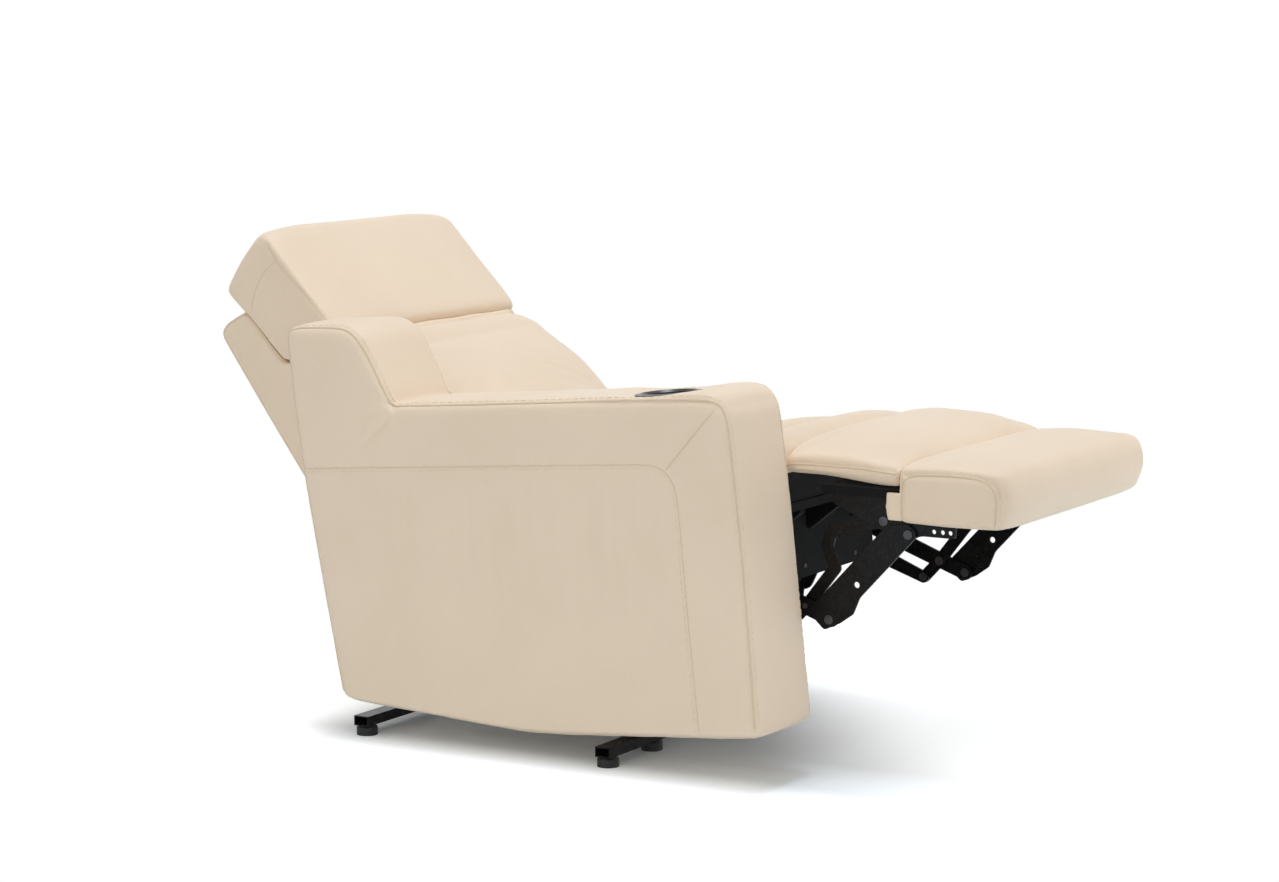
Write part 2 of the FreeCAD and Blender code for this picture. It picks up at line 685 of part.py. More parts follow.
# Arm with its wing, hollowed for the cup and the switch panel
def arm():
    body = slab(arm_outline(), ARM_OUTER, ARM_INNER)
    rims = [e for e in body.Edges
            if abs(e.BoundBox.XMax - e.BoundBox.XMin) < 0.01]
    body = body.makeFillet(ARM_EDGE_RADIUS, rims)
    cup_y = ARM_FRONT + CUP_SETBACK
    cup_x = (ARM_OUTER + ARM_INNER) / 2
    well = CUP_BORE / 2 + CUP_WALL
    floor = ARM_TOP - CUP_DEPTH - CUP_WALL
    body = body.cut(Part.makeCylinder(well, CUP_DEPTH + 60, Vector(cup_x, cup_y, floor)))
    body = body.cut(Part.makeCylinder(CUP_RIM / 2 + SOFT_GAP, 20, Vector(cup_x, cup_y, ARM_TOP - 1)))
    panel_z = ARM_TOP - 16 - PANEL_HEIGHT
    panel_y = ARM_FRONT + PANEL_SETBACK
    pocket = slab([(panel_y - PANEL_LENGTH / 2 + 6, panel_z + 6, 5),
                   (panel_y + PANEL_LENGTH / 2 - 6, panel_z + 6, 5),
                   (panel_y + PANEL_LENGTH / 2 - 6, panel_z + PANEL_HEIGHT - 6, 5),
                   (panel_y - PANEL_LENGTH / 2 + 6, panel_z + PANEL_HEIGHT - 6, 5)],
                  ARM_INNER - PANEL_DEPTH, ARM_INNER + 1)
    body = body.cut(pocket)
    rear = block(ARM_OUTER - 1, ARM_INNER + 1, wing_foot(), ARM_REAR + 20, 0, WING_TOP + 20)
    node("arm_body", on_seat, [body.cut(rear), body.common(rear)])
    cup_holder(cup_x, cup_y, well, floor)
    switch_panel(panel_y, panel_z)
    arm_brackets()


def cup_holder(x, y, well, floor):
    bore = CUP_BORE / 2
    rim = CUP_RIM / 2
    seat = ARM_TOP - 1
    profile = [
        (0, floor), (well, floor), (well, seat), (rim, seat), (rim - 2, seat + 3.5),
        (bore + 5, seat + 5), (bore, seat + 1), (bore, floor + 6), (bore - 6, floor + CUP_WALL),
        (0, floor + CUP_WALL),
    ]
    points = [Vector(x + r, y, z) for r, z in profile]
    wire = Part.makePolygon(points + [points[0]])
    cup = Part.Face(wire).revolve(Vector(x, y, 0), Vector(0, 0, 1), 360)
    node("cup_holder", on_seat, [cup])


# Six keys in two rows, pressed into the arm's inner side
def switch_panel(y, z):
    face0 = ARM_INNER
    face1 = ARM_INNER + PANEL_FACE
    half = PANEL_LENGTH / 2
    plate = slab([(y - half, z, 8), (y + half, z, 8), (y + half, z + PANEL_HEIGHT, 8),
                  (y - half, z + PANEL_HEIGHT, 8)], face0, face1)
    tray = slab([(y - half + 6, z + 6, 5), (y + half - 6, z + 6, 5),
                 (y + half - 6, z + PANEL_HEIGHT - 6, 5), (y - half + 6, z + PANEL_HEIGHT - 6, 5)],
                face0 - PANEL_DEPTH, face0)
    inside = slab([(y - half + 8, z + 8, 3), (y + half - 8, z + 8, 3),
                   (y + half - 8, z + PANEL_HEIGHT - 8, 3), (y - half + 8, z + PANEL_HEIGHT - 8, 3)],
                  face0 - PANEL_DEPTH + 2, face0)
    panel = fused([plate, tray.cut(inside)])
    places = []
    for row in (-1, 1):
        for column in (-1, 0, 1):
            places.append((y + column * (BUTTON_LENGTH + 8), z + PANEL_HEIGHT / 2
                           + row * (BUTTON_HEIGHT + 2) / 2))

    def key(p, grow, x0, x1, radius):
        a = BUTTON_LENGTH / 2 + grow
        b = (BUTTON_HEIGHT - 1) / 2 + grow
        return slab([(p[0] - a, p[1] - b, radius), (p[0] + a, p[1] - b, radius),
                     (p[0] + a, p[1] + b, radius), (p[0] - a, p[1] + b, radius)], x0, x1)

    for p in places:
        panel = panel.cut(key(p, BUTTON_CLEARANCE, face0 - 1, face1 + 1, 3.4))
    node("switch_panel", on_seat, [panel])
    names = ("leg_out", "recline", "head_forward", "leg_in", "upright", "head_back")
    for name, p in zip(names, places):
        cap = key(p, 0, face0 - 3, face1 + BUTTON_PROUD, 3.0)
        stem = rod(p, 3.0, face0 - PANEL_DEPTH + 2 + BUTTON_TRAVEL + 0.5, face0 - 3)
        node(name + "_button", on_seat, [fused([cap, stem])])


# Steel angles between the side plate and the arm
def arm_brackets():
    plate_face = SEAT_MIDDLE - PLATE_OUTER
    solids = []
    half = ARM_BRACKET_WIDTH / 2
    low = ARM_BRACKET_BOTTOM
    high = ARM_BRACKET_TOP
    for y in ARM_BRACKET_PLACES:
        flange_in = block(plate_face - PLATE, plate_face, y - half, y + half, low, high)
        flange_out = block(ARM_INNER, ARM_INNER + PLATE, y - half, y + half, low, high)
        web = block(ARM_INNER, plate_face, y - PLATE / 2, y + PLATE / 2, low, high)
        solids.append(fused([flange_in, flange_out, web]))
    node("arm_brackets", on_seat, solids)


# Legrest links
def legrest_links():
    running = PIN_RADIUS + PIN_CLEARANCE

    def leg_arm(x0, x1):
        solid = bar(LEG_ARM_PIVOT, LEG_ARM_END, LINK_RADIUS + 2, LINK_RADIUS, x0, x1)
        holes = [rod(LEG_ARM_PIVOT, running, x0 - 1, x1 + 1),
                 rod(LEG_ARM_END, PIN_RADIUS, x0 - 1, x1 + 1),
                 rod(CROSSING, PIN_RADIUS, x0 - 1, x1 + 1)]
        return cut(solid, holes)

    node("upper_leg_arms", on_seat, both(leg_arm, *ARM_LAYER))
    pins = rivets(LEG_ARM_END, ARM_LAYER[0], COUPLER_LAYER[1], RIVET_HEAD, BIG_HEAD)
    pins += rivets(CROSSING, HOOK_LAYER[0], ARM_LAYER[1], RIVET_HEAD, 0)
    node("leg_arm_pins", on_seat, pins)

    def lower_arm(x0, x1):
        solid = bar(LOWER_ARM_PIVOT, LOWER_ARM_END, TORQUE_TUBE_RADIUS + 4, THIN_LINK_RADIUS, x0, x1)
        return cut(solid, [rod(LOWER_ARM_PIVOT, TORQUE_TUBE_RADIUS, x0 - 1, x1 + 1),
                           rod(LOWER_ARM_END, running, x0 - 1, x1 + 1)])

    node("lower_leg_arms", on_seat, both(lower_arm, *LOWER_LAYER))
    reach = LOWER_LAYER[1]
    tube = pipe(LOWER_ARM_PIVOT, TORQUE_TUBE_RADIUS, FRAME_TUBE_WALL, SEAT_MIDDLE - reach,
                SEAT_MIDDLE + reach)
    node("torque_tube", on_seat, [tube, drive_crank()])

    def coupler_point(along, aside, radius):
        axis = scaled(COUPLER_REACH, 1 / length(COUPLER_REACH))
        normal = (axis[1], -axis[0])
        point = plus(LEG_ARM_END, plus(scaled(axis, along), scaled(normal, aside)))
        return (point[0], point[1], radius)

    reach = length(COUPLER_REACH)

    def coupler(x0, x1):
        solid = slab([
            coupler_point(-20, -6, 8),
            coupler_point(10, -18, 14),
            coupler_point(40, -24, 12),
            coupler_point(70, -13, 20),
            coupler_point(reach + 13, -13, 12),
            coupler_point(reach + 13, 13, 12),
            coupler_point(reach - 22, 38, 20),
            coupler_point(-4, 38, 14),
            coupler_point(-20, 22, 10),
        ], x0, x1)
        free_hole = coupler_point(82, 6, 5.5)
        return cut(solid, [rod(LEG_ARM_END, running, x0 - 1, x1 + 1),
                           rod(COUPLER_END, running, x0 - 1, x1 + 1),
                           rod(free_hole, free_hole[2], x0 - 1, x1 + 1)])

    node("wide_couplers", on_seat, both(coupler, *COUPLER_LAYER))

    def hook_point(along, aside):
        axis = scaled(COUPLER_REACH, 1 / reach)
        normal = (axis[1], -axis[0])
        return plus(CROSSING, plus(scaled(axis, along), scaled(normal, aside)))

    def hook(x0, x1):
        route = [LOWER_ARM_END, CROSSING, hook_point(87, 8), hook_point(103, 44),
                 hook_point(126, 56), HOOK_END]
        parts = [bar(route[i], route[i + 1], THIN_LINK_RADIUS, THIN_LINK_RADIUS, x0, x1)
                 for i in range(len(route) - 1)]
        solid = fused(parts)
        return cut(solid, [rod(LOWER_ARM_END, PIN_RADIUS, x0 - 1, x1 + 1),
                           rod(CROSSING, running, x0 - 1, x1 + 1),
                           rod(HOOK_END, running, x0 - 1, x1 + 1)])

    node("hooked_links", on_seat, both(hook, *HOOK_LAYER))
    node("hooked_link_pins", on_seat,
         rivets(LOWER_ARM_END, LOWER_LAYER[0], HOOK_LAYER[1], RIVET_HEAD, RIVET_HEAD))


# Legrest: brackets, board, calf pad and foot box
def legrest():
    x0 = SEAT_LEFT + LEGREST_NEAR_GAP
    x1 = SEAT_RIGHT - LEGREST_FAR_GAP
    under = -LEG_PAD_BORDER
    board_under = under - LEG_BOARD
    box_start = LEG_PAD_LENGTH
    box_end = LEG_PAD_LENGTH + FOOT_BOX_LENGTH
    box_under = -FOOT_BOX_DEPTH

    board_start = LEG_BOARD_START
    bracket_start = board_start + 16

    def bracket(xa, xb):
        solid = slab([
            on_legrest(bracket_start, board_under, 6),
            on_legrest(box_start - 4, board_under, 0),
            on_legrest(box_start - 4, box_under, 4),
            on_legrest(box_start + 96, box_under, 0),
            on_legrest(box_start + 96, box_under - 22, 6),
            on_legrest(box_start + 30, box_under - 22, 30),
            on_legrest(box_start + 12, box_under - 34, 12),
            on_legrest(box_start - 8, box_under - 26, 14),
            on_legrest(box_start - 52, box_under - 14, 14),
            on_legrest(bracket_start, board_under - 16, 8),
        ], xa, xb)
        if xa < SEAT_MIDDLE:
            near = (xb, xb + 20)
        else:
            near = (xa - 20, xa)
        lap = slab([on_legrest(bracket_start + 2, board_under, 0),
                    on_legrest(box_start - 10, board_under, 0),
                    on_legrest(box_start - 10, board_under - 3, 0),
                    on_legrest(bracket_start + 2, board_under - 3, 0)],
                   min(near[0], xa), max(near[1], xb))
        toe = slab([on_legrest(box_start + 20, box_under, 0), on_legrest(box_start + 94, box_under, 0),
                    on_legrest(box_start + 94, box_under - 3, 0),
                    on_legrest(box_start + 20, box_under - 3, 0)],
                   min(near[0], xa), max(near[1], xb))
        solid = fused([solid, lap, toe])
        holes = [rod(COUPLER_END, PIN_RADIUS, xa - 1, xb + 1),
                 rod(HOOK_END, PIN_RADIUS, xa - 1, xb + 1)]
        for s in (56, 72, 86):
            holes.append(rod(on_legrest(box_start + s, box_under - 13), 4, xa - 1, xb + 1))
        return cut(solid, holes)

    node("legrest_brackets", on_seat, both(bracket, *ARM_LAYER))
    pins = rivets(COUPLER_END, ARM_LAYER[0], COUPLER_LAYER[1], RIVET_HEAD, BIG_HEAD)
    pins += rivets(HOOK_END, HOOK_LAYER[0], ARM_LAYER[1], RIVET_HEAD, RIVET_HEAD)
    node("legrest_pins", on_seat, pins)

    board = slab([on_legrest(board_start, under, 4), on_legrest(box_start - 2, under, 0),
                  on_legrest(box_start - 2, board_under, 0), on_legrest(board_start, board_under, 6)],
                 x0 + 8, x1 - 8)
    node("legrest_board", on_seat, [board])

    def calf_pad(swell):
        top = LEG_PAD_CROWN * swell
        return [
            on_legrest(2, under + SOFT_GAP, 18),
            on_legrest(1, 2 + 0.84 * top, 26),
            on_legrest(70, 3 + top, 120),
            on_legrest(160, 2 + 0.96 * top, 120),
            on_legrest(box_start - 12, 0.66 * top, 30),
            on_legrest(box_start - SOFT_GAP, 0.24 * top, 10),
            on_legrest(box_start - SOFT_GAP, under + SOFT_GAP, 4),
        ]

    node("calf_pad", on_seat, [crowned(calf_pad, x0, x1)])

    def foot_pad(swell):
        top = FOOT_BOX_CROWN * swell
        nose = FOOT_BOX_NOSE * swell
        return [
            on_legrest(box_start + 0.1, box_under, 5),
            on_legrest(box_start + 0.1, 1 + 0.6 * top, 8),
            on_legrest(box_start + 70, 3 + top, 300),
            on_legrest(box_end - 4 + 0.8 * nose, 1 + 0.8 * top, 30),
            on_legrest(box_end + 4 + nose, box_under + 48, 200),
            on_legrest(box_end - 8 + nose / 2, box_under, 9),
        ]

    pad = crowned(foot_pad, x0, x1)
    margin = FOOT_BOX_MARGIN
    core = slab([on_legrest(box_start + margin, box_under - 1, 0),
                 on_legrest(box_start + margin, -margin, 0),
                 on_legrest(box_end - margin, -margin, 0),
                 on_legrest(box_end - margin, box_under - 1, 0)], x0 + margin, x1 - margin)
    pad = pad.cut(core)
    node("foot_pad", on_seat, [pad])
    frame = slab([on_legrest(box_start + margin, box_under, 0),
                  on_legrest(box_start + margin, -margin, 0),
                  on_legrest(box_end - margin, -margin, 0),
                  on_legrest(box_end - margin, box_under, 0)], x0 + margin, x1 - margin)
    wall = BOARD
    hollow = slab([on_legrest(box_start + margin + wall, box_under - 1, 0),
                   on_legrest(box_start + margin + wall, -margin - wall, 0),
                   on_legrest(box_end - margin - wall, -margin - wall, 0),
                   on_legrest(box_end - margin - wall, box_under - 1, 0)],
                  x0 + margin + wall, x1 - margin - wall)
    node("foot_box_frame", on_seat, [frame.cut(hollow)])


# Back: hinge brackets, timber frame, outer shell and cushion
def back():
    hinge = BACK_HINGE
    board_outer = SEAT_RIGHT - SEAT_MIDDLE - SHELL_WALL
    board_inner = LOWER_LAYER[1]
    front_foot = (BACK_CUSHION_REAR_FOOT + 3, BACK_FOOT[1] - 6)
    front_top = (BACK_CUSHION_REAR_TOP + 3, BACK_CUSHION_TOP[1] + 1)

    def bracket(x0, x1):
        up = (hinge[0] + 62, hinge[1] + 190)
        parts = [bar(hinge, up, 20, 26, x0, x1),
                 bar(hinge, BACK_LINK_LUG, 16, 11, x0, x1),
                 bar(hinge, BACK_DRIVE_TUBE, 16, DRIVE_TUBE_RADIUS + 6, x0, x1)]
        return cut(fused(parts), [rod(hinge, PIN_RADIUS + PIN_CLEARANCE, x0 - 1, x1 + 1),
                                  rod(BACK_LINK_LUG, PIN_RADIUS, x0 - 1, x1 + 1),
                                  rod(BACK_DRIVE_TUBE, DRIVE_TUBE_RADIUS, x0 - 1, x1 + 1)])

    node("back_hinge_brackets", on_back, both(bracket, *LOWER_LAYER))
    node("back_link_pins", on_back,
         rivets(BACK_LINK_LUG, LOWER_LAYER[0], HOOK_LAYER[1], RIVET_HEAD, RIVET_HEAD))
    node("back_drive_tube", on_back,
         [pipe(BACK_DRIVE_TUBE, DRIVE_TUBE_RADIUS, FRAME_TUBE_WALL, SEAT_MIDDLE - LOWER_LAYER[1],
               SEAT_MIDDLE + LOWER_LAYER[1])])

    wall = SHELL_WALL
    rear = [(SHELL_FOOT[0] - wall, SHELL_FOOT[1]), (SHELL_REAR_WAIST[0] - wall, SHELL_REAR_WAIST[1]),
            (SHELL_REAR_TOP[0] - wall - 1, SHELL_REAR_TOP[1] - wall)]

    def side_board(x0, x1):
        return slab([
            (hinge[0] + 38, hinge[1] + 70, 12),
            (rear[0][0] - 14, rear[0][1] + 80, 20),
            (rear[1][0] - 1, rear[1][1], 300),
            (rear[2][0] - 3, rear[2][1] - 6, 6),
            (SHELL_LIP[0] + wall + 3, SHELL_LIP[1] - wall - 6, 6),
            (SHELL_SHOULDER[0] + wall + 2, SHELL_SHOULDER[1] - 14, 20),
            (front_top[0] + 12, front_top[1] + 6, 8),
            (front_top[0], front_top[1] - 4, 8),
            (front_foot[0], front_foot[1], 10),
        ], x0, x1)

    node("back_side_boards", on_back, both(side_board, board_inner, board_outer))

    x0 = SEAT_MIDDLE - board_inner
    x1 = SEAT_MIDDLE + board_inner

    def rail(foot, size):
        return block(x0, x1, foot[0], foot[0] + size[0], foot[1], foot[1] + size[1])

    node("back_cross_rails", on_back, [
        rail(LOW_RAIL_FOOT, LOW_RAIL_SIZE),
        rail(MIDDLE_RAIL_FOOT, MIDDLE_RAIL_SIZE),
        rail(NECK_RAIL_FOOT, NECK_RAIL_SIZE),
        rail(TOP_RAIL_FOOT, TOP_RAIL_SIZE),
    ])

    outer = [
        (hinge[0] + 24, SHELL_FOOT[1] + 12, 12),
        (SHELL_FOOT[0], SHELL_FOOT[1], 18),
        (SHELL_REAR_WAIST[0], SHELL_REAR_WAIST[1], 500),
        (SHELL_REAR_TOP[0], SHELL_REAR_TOP[1], 22),
        (SHELL_LIP[0], SHELL_LIP[1] + 10, 14),
        (SHELL_SHOULDER[0], SHELL_SHOULDER[1], 24),
        (front_top[0] + 12, front_top[1] + 22, 10),
        (front_top[0], front_top[1], 8),
        (front_foot[0] + 2, front_foot[1] - 14, 30),
    ]
    body = slab(outer, SEAT_LEFT, SEAT_RIGHT)
    rims = [e for e in body.Edges
            if abs(e.BoundBox.XMax - e.BoundBox.XMin) < 0.01
            and e.BoundBox.YMin > SHELL_SHOULDER[0] - 2 and e.BoundBox.ZMin > SHELL_FOOT[1] - 1]
    cavity = slab([
        (hinge[0] - 100, SHELL_FOOT[1] - 60, 0),
        (rear[0][0] - 4, SHELL_FOOT[1] - 60, 0),
        (rear[0][0], rear[0][1], 0),
        (rear[1][0], rear[1][1], 0),
        (rear[2][0], rear[2][1], 8),
        (SHELL_LIP[0] + wall, SHELL_LIP[1] - wall + 6, 8),
        (SHELL_SHOULDER[0] + wall, SHELL_SHOULDER[1] + 6, 0),
        (SHELL_SHOULDER[0] - 8, SHELL_SHOULDER[1] + 6, 0),
        (hinge[0] - 100, SHELL_SHOULDER[1] + 6, 0),
    ], SEAT_LEFT + wall, SEAT_RIGHT - wall)
    node("back_shell", on_back, [body.makeFillet(8, rims).cut(cavity)])

    def cushion(swell):
        pull = BACK_CROWN * (1 - swell)
        return [
            (BACK_FOOT[0] + pull, BACK_FOOT[1], 24),
            (BACK_FOOT[0] + 30 + pull, BACK_FOOT[1] + 60, 200),
            (BACK_BULGE[0] + pull, BACK_BULGE[1], 300),
            (BACK_CUSHION_TOP[0] + pull, BACK_CUSHION_TOP[1] + 3, 22),
            (BACK_CUSHION_REAR_TOP, BACK_CUSHION_TOP[1] - 3, 5),
            (BACK_CUSHION_REAR_FOOT, BACK_FOOT[1], 10),
        ]

    node("back_cushion", on_back, [crowned(cushion, SEAT_LEFT, SEAT_RIGHT)])


# Headrest on its hinge tube, with the board and ears inside the pad
def headrest():
    pivot = HEADREST_PIVOT
    tube = HEADREST_TUBE_RADIUS
    span = SEAT_HALF - HEADREST_TUBE_MARGIN
    node("headrest_hinge_tube", on_back, [rod(pivot, tube, SEAT_MIDDLE - span, SEAT_MIDDLE + span)])
    rail_front = NECK_RAIL_FOOT[0]

    def strap(x):
        plate = fused([rod(pivot, tube + 4, x, x + 5),
                       slab([(pivot[0], pivot[1] + 9, 0), (rail_front, pivot[1] - 6, 0),
                             (rail_front, pivot[1] - 32, 0), (pivot[0] + 4, pivot[1] - 10, 0)],
                            x, x + 5)])
        return plate.cut(rod(pivot, tube, x - 1, x + 6))

    node("headrest_straps", on_back,
         [strap(SEAT_MIDDLE - span + 8), strap(SEAT_MIDDLE + span - 13)])

    board_foot = HEADREST_BOARD_FOOT
    board_head = HEADREST_BOARD_HEAD
    board_x0 = SEAT_LEFT + HEADREST_BOARD_MARGIN
    board_x1 = SEAT_RIGHT - HEADREST_BOARD_MARGIN
    board = slab([(board_foot[0], board_foot[1], 0), (board_foot[0] + 12, board_foot[1] - 3, 0),
                  (board_head[0] + 6, board_head[1], 0), (board_head[0] - 6, board_head[1] + 3, 0)],
                 board_x0, board_x1)
    node("headrest_board", on_back, [board])
    running = tube + PIN_CLEARANCE

    def ear(x):
        plate = fused([rod(pivot, tube + 6, x, x + 4),
                       slab([(pivot[0] - 4, pivot[1] + 12, 0), (pivot[0] + 10, pivot[1] - 6, 4),
                             (board_foot[0] + 2, board_foot[1] + 4, 0),
                             (board_foot[0] + 8, board_foot[1] + 36, 0),
                             (pivot[0] + 30, board_foot[1] + 20, 10)], x, x + 4)])
        return plate.cut(rod(pivot, running, x - 1, x + 5))

    lug = plus(pivot, polar(HEADREST_LUG_ANGLE, HEADREST_LUG_RADIUS))
    lug_x = SEAT_MIDDLE - 2
    crank = fused([ear(lug_x), bar(pivot, lug, tube + 6, 9, lug_x, lug_x + 4)])
    crank = crank.cut(rod(pivot, running, lug_x - 1, lug_x + 5))
    crank = crank.cut(rod(lug, 4, lug_x - 1, lug_x + 5))
    ears = [ear(SEAT_MIDDLE - span + 16), ear(SEAT_MIDDLE + span - 20)]
    crank = cut(crank, [board])
    ears = [cut(e, [board]) for e in ears]
    pin = fused([rod(lug, 4, lug_x, lug_x + 12), rod(lug, 6, lug_x + 12, lug_x + 13.5)])
    node("headrest_hinge_ears", on_back, [e.copy() for e in ears + [crank, pin]])

    def pad(swell):
        top = HEADREST_TOP - HEADREST_CROWN * (1 - swell)
        pull = 9 * (1 - swell)
        rear_top = HEADREST_TOP_REAR[1] + 8 * swell
        return [
            (HEADREST_NOSE[0] + pull, HEADREST_NOSE[1], 17),
            (HEADREST_TOP_FRONT + pull / 2, top, 26),
            (HEADREST_TOP_REAR[0] - 55, (top + rear_top) / 2 + 6 * swell, 90),
            (HEADREST_TOP_REAR[0], rear_top, 18),
            (HEADREST_HEEL[0], HEADREST_HEEL[1], 10),
            (HEADREST_SEAT[0], HEADREST_SEAT[1], 12),
        ]

    body = crowned(pad, SEAT_LEFT, SEAT_RIGHT)
    for inner in [board] + ears + [crank]:
        body = body.cut(inner)
    swept = rod(pivot, tube + 8, board_x0, board_x1)
    body = body.cut(swept)
    node("headrest_pad", on_back, [body])
    headrest_drive(lug)


# Cylinder between two points of the side plane at one place across
def strut(a, b, radius, x):
    axis = minus(b, a)
    return Part.makeCylinder(radius, length(axis), vec(a, x), vec(axis))


def headrest_drive(lug):
    middle = HEADREST_LUG_ANGLE + HEADREST_ANGLE / 2
    down = middle - 90
    x = SEAT_MIDDLE + 6

    def along(distance, aside=0.0):
        return plus(lug, plus(polar(down, distance), polar(middle, aside)))

    hole = 4 + HEADREST_EYE_PLAY + PIN_CLEARANCE
    eye = bar(lug, along(34), hole + 5, 6, x - 3, x + 3)
    shank = strut(along(22), along(150), 6, x)
    node("headrest_drive_rod", on_back, [fused([eye, shank]).cut(rod(lug, hole, x - 8, x + 8))])
    bore = strut(along(69), along(215), 6 + ROD_CLEARANCE, x)
    tube = strut(along(70), along(216), 12, x)
    gearbox = slab([along(212, -22) + (6,), along(212, 24) + (6,), along(262, 24) + (6,),
                    along(262, -22) + (6,)], x - 20, x + 20)
    motor = strut(along(255), along(330), 18, x)
    rail = MIDDLE_RAIL_FOOT
    rail_rear = rail[0] + MIDDLE_RAIL_SIZE[0]
    foot = block(x - 16, x + 16, rail_rear, rail_rear + 22, rail[1] + 20, rail[1] + 50)
    housing = fused([tube, gearbox, motor, foot]).cut(bore)
    node("headrest_drive", on_back, [housing])


# Slotted crank on the torque tube, worked by the legrest drive
def drive_crank():
    x = SEAT_MIDDLE + LEG_DRIVE_OFFSET
    pivot = LOWER_ARM_PIVOT
    half = LEGREST_SWING / 2
    reach = LEG_CRANK / math.cos(math.radians(half))
    start = plus(pivot, polar(-90 - half, reach))
    near = plus(pivot, polar(-90 - half, LEG_CRANK))
    tip = plus(pivot, polar(-90 - half, reach + 4))
    slot = PIN_RADIUS + LEG_CRANK_PLAY
    crank = bar(pivot, tip, TORQUE_TUBE_RADIUS + 6, slot + 5, x - 3, x + 3)
    return cut(crank, [rod(pivot, TORQUE_TUBE_RADIUS, x - 4, x + 4),
                       bar(near, start, slot, slot, x - 4, x + 4)])


# Legrest drive: fixed rail under the seat, its fork pulls the crank
def legrest_drive():
    x = SEAT_MIDDLE + LEG_DRIVE_OFFSET
    pivot = LOWER_ARM_PIVOT
    half = LEGREST_SWING / 2
    line = pivot[1] - LEG_CRANK
    reach = LEG_CRANK / math.cos(math.radians(half))
    start = plus(pivot, polar(-90 - half, reach))
    stroke = 2 * reach * math.sin(math.radians(half))
    fork = block(x - 10, x + 10, start[0] - 14, start[0] + 48, line - 11, line + 11)
    fork = fork.cut(block(x - 3.5, x + 3.5, start[0] - 15, start[0] + 40, line - 12, line + 12))
    bar_end = start[0] + stroke + 175
    shaft = strut((start[0] + 46, line), (bar_end - stroke, line), DRIVE_ROD_RADIUS, x)
    pin = fused([rod(start, PIN_RADIUS, x - 10, x + 10), rod(start, 8, x - 12, x - 10),
                 rod(start, 8, x + 10, x + 12)])
    pull = fused([fork, shaft]).cut(rod(start, PIN_RADIUS, x - 13, x + 13))
    node("legrest_drive_rod", on_seat, [pull, pin])

    front = start[0] + stroke + 60
    gear = bar_end + 12
    tube = strut((front, line), (gear + 5, line), DRIVE_TUBE_OUTER, x)
    bore = strut((front - 1, line), (gear - 2, line), DRIVE_ROD_RADIUS + ROD_CLEARANCE, x)
    gearbox = slab([(gear, line - 66, 10), (gear + GEARBOX_LENGTH, line - 66, 10),
                    (gear + GEARBOX_LENGTH, line + 22, 8), (gear, line + 22, 8)], x - 24, x + 24)
    motor = strut((gear + 4, line - 42), (gear - MOTOR_LENGTH, line - 42), MOTOR_RADIUS - 3, x)
    clamp_top = FRONT_FRAME_TUBE[1]
    saddle = block(x - 12, x + 12, FRONT_FRAME_TUBE[0] - 10, FRONT_FRAME_TUBE[0] + 10, line, clamp_top)
    hanger = block(x - 14, x + 14, gear + 20, REAR_FRAME_TUBE[0] + 10, line - 4, REAR_FRAME_TUBE[1])
    frame_tubes = [rod(p, FRAME_TUBE_RADIUS, x - 40, x + 40)
                   for p in (FRONT_FRAME_TUBE, REAR_FRAME_TUBE)]
    housing = cut(fused([tube, gearbox, motor, saddle, hanger]), [bore] + frame_tubes)
    node("legrest_drive", on_seat, [housing])
    return stroke


# Ears on the front cross tube and the pin that carries the recline drive
def recline_drive_mount():
    x = SEAT_MIDDLE + RECLINE_DRIVE_OFFSET
    pivot = RECLINE_DRIVE_PIVOT
    tube_at = FRONT_FRAME_TUBE
    ears = [cut(bar(tube_at, pivot, FRAME_TUBE_RADIUS + 6, 12, a, a + 5),
                [rod(tube_at, FRAME_TUBE_RADIUS, a - 1, a + 6), rod(pivot, PIN_RADIUS, a - 1, a + 6)])
            for a in (x - 14, x + 9)]
    pin = fused([rod(pivot, PIN_RADIUS, x - 14, x + 14), rod(pivot, 8, x - 16, x - 14),
                 rod(pivot, 8, x + 14, x + 16)])
    return ears, pin


# Recline drive: hung from the front tube, its eye turns the tube below the back hinge
def recline_drive():
    x = SEAT_MIDDLE + RECLINE_DRIVE_OFFSET
    foot = reclined(RECLINE_DRIVE_PIVOT)
    eye = back_reclined(BACK_DRIVE_TUBE)
    angle = direction(foot, eye)
    span = length(minus(eye, foot))
    upright = length(minus(BACK_DRIVE_TUBE, RECLINE_DRIVE_PIVOT))

    def at(distance, aside=0.0):
        return plus(foot, plus(polar(angle, distance), polar(angle + 90, aside)))

    ring = DRIVE_TUBE_RADIUS + RECLINE_EYE_PLAY + PIN_CLEARANCE
    head = rod(eye, ring + 6, x - 8, x + 8)
    shaft = strut(at(150), at(span - ring - 2), DRIVE_ROD_RADIUS, x)
    node("recline_drive_rod", on_base, [fused([head, shaft]).cut(rod(eye, ring, x - 9, x + 9))])

    tube = strut(at(70), at(250), DRIVE_TUBE_OUTER, x)
    bore = strut(at(110), at(251), DRIVE_ROD_RADIUS + ROD_CLEARANCE, x)
    gearbox = slab([at(24, -62) + (10,), at(84, -62) + (10,), at(84, 20) + (8,), at(24, 20) + (8,)],
                   x - 24, x + 24)
    motor = strut(at(80, -40), at(84 + MOTOR_LENGTH, -40), MOTOR_RADIUS - 3, x)
    clevis = bar(foot, at(40), 13, 16, x - 8, x + 8)
    housing = cut(fused([tube, gearbox, motor, clevis]),
                  [bore, rod(foot, PIN_RADIUS + PIN_CLEARANCE, x - 30, x + 30)])
    node("recline_drive", on_base, [housing])
    return span, upright, angle


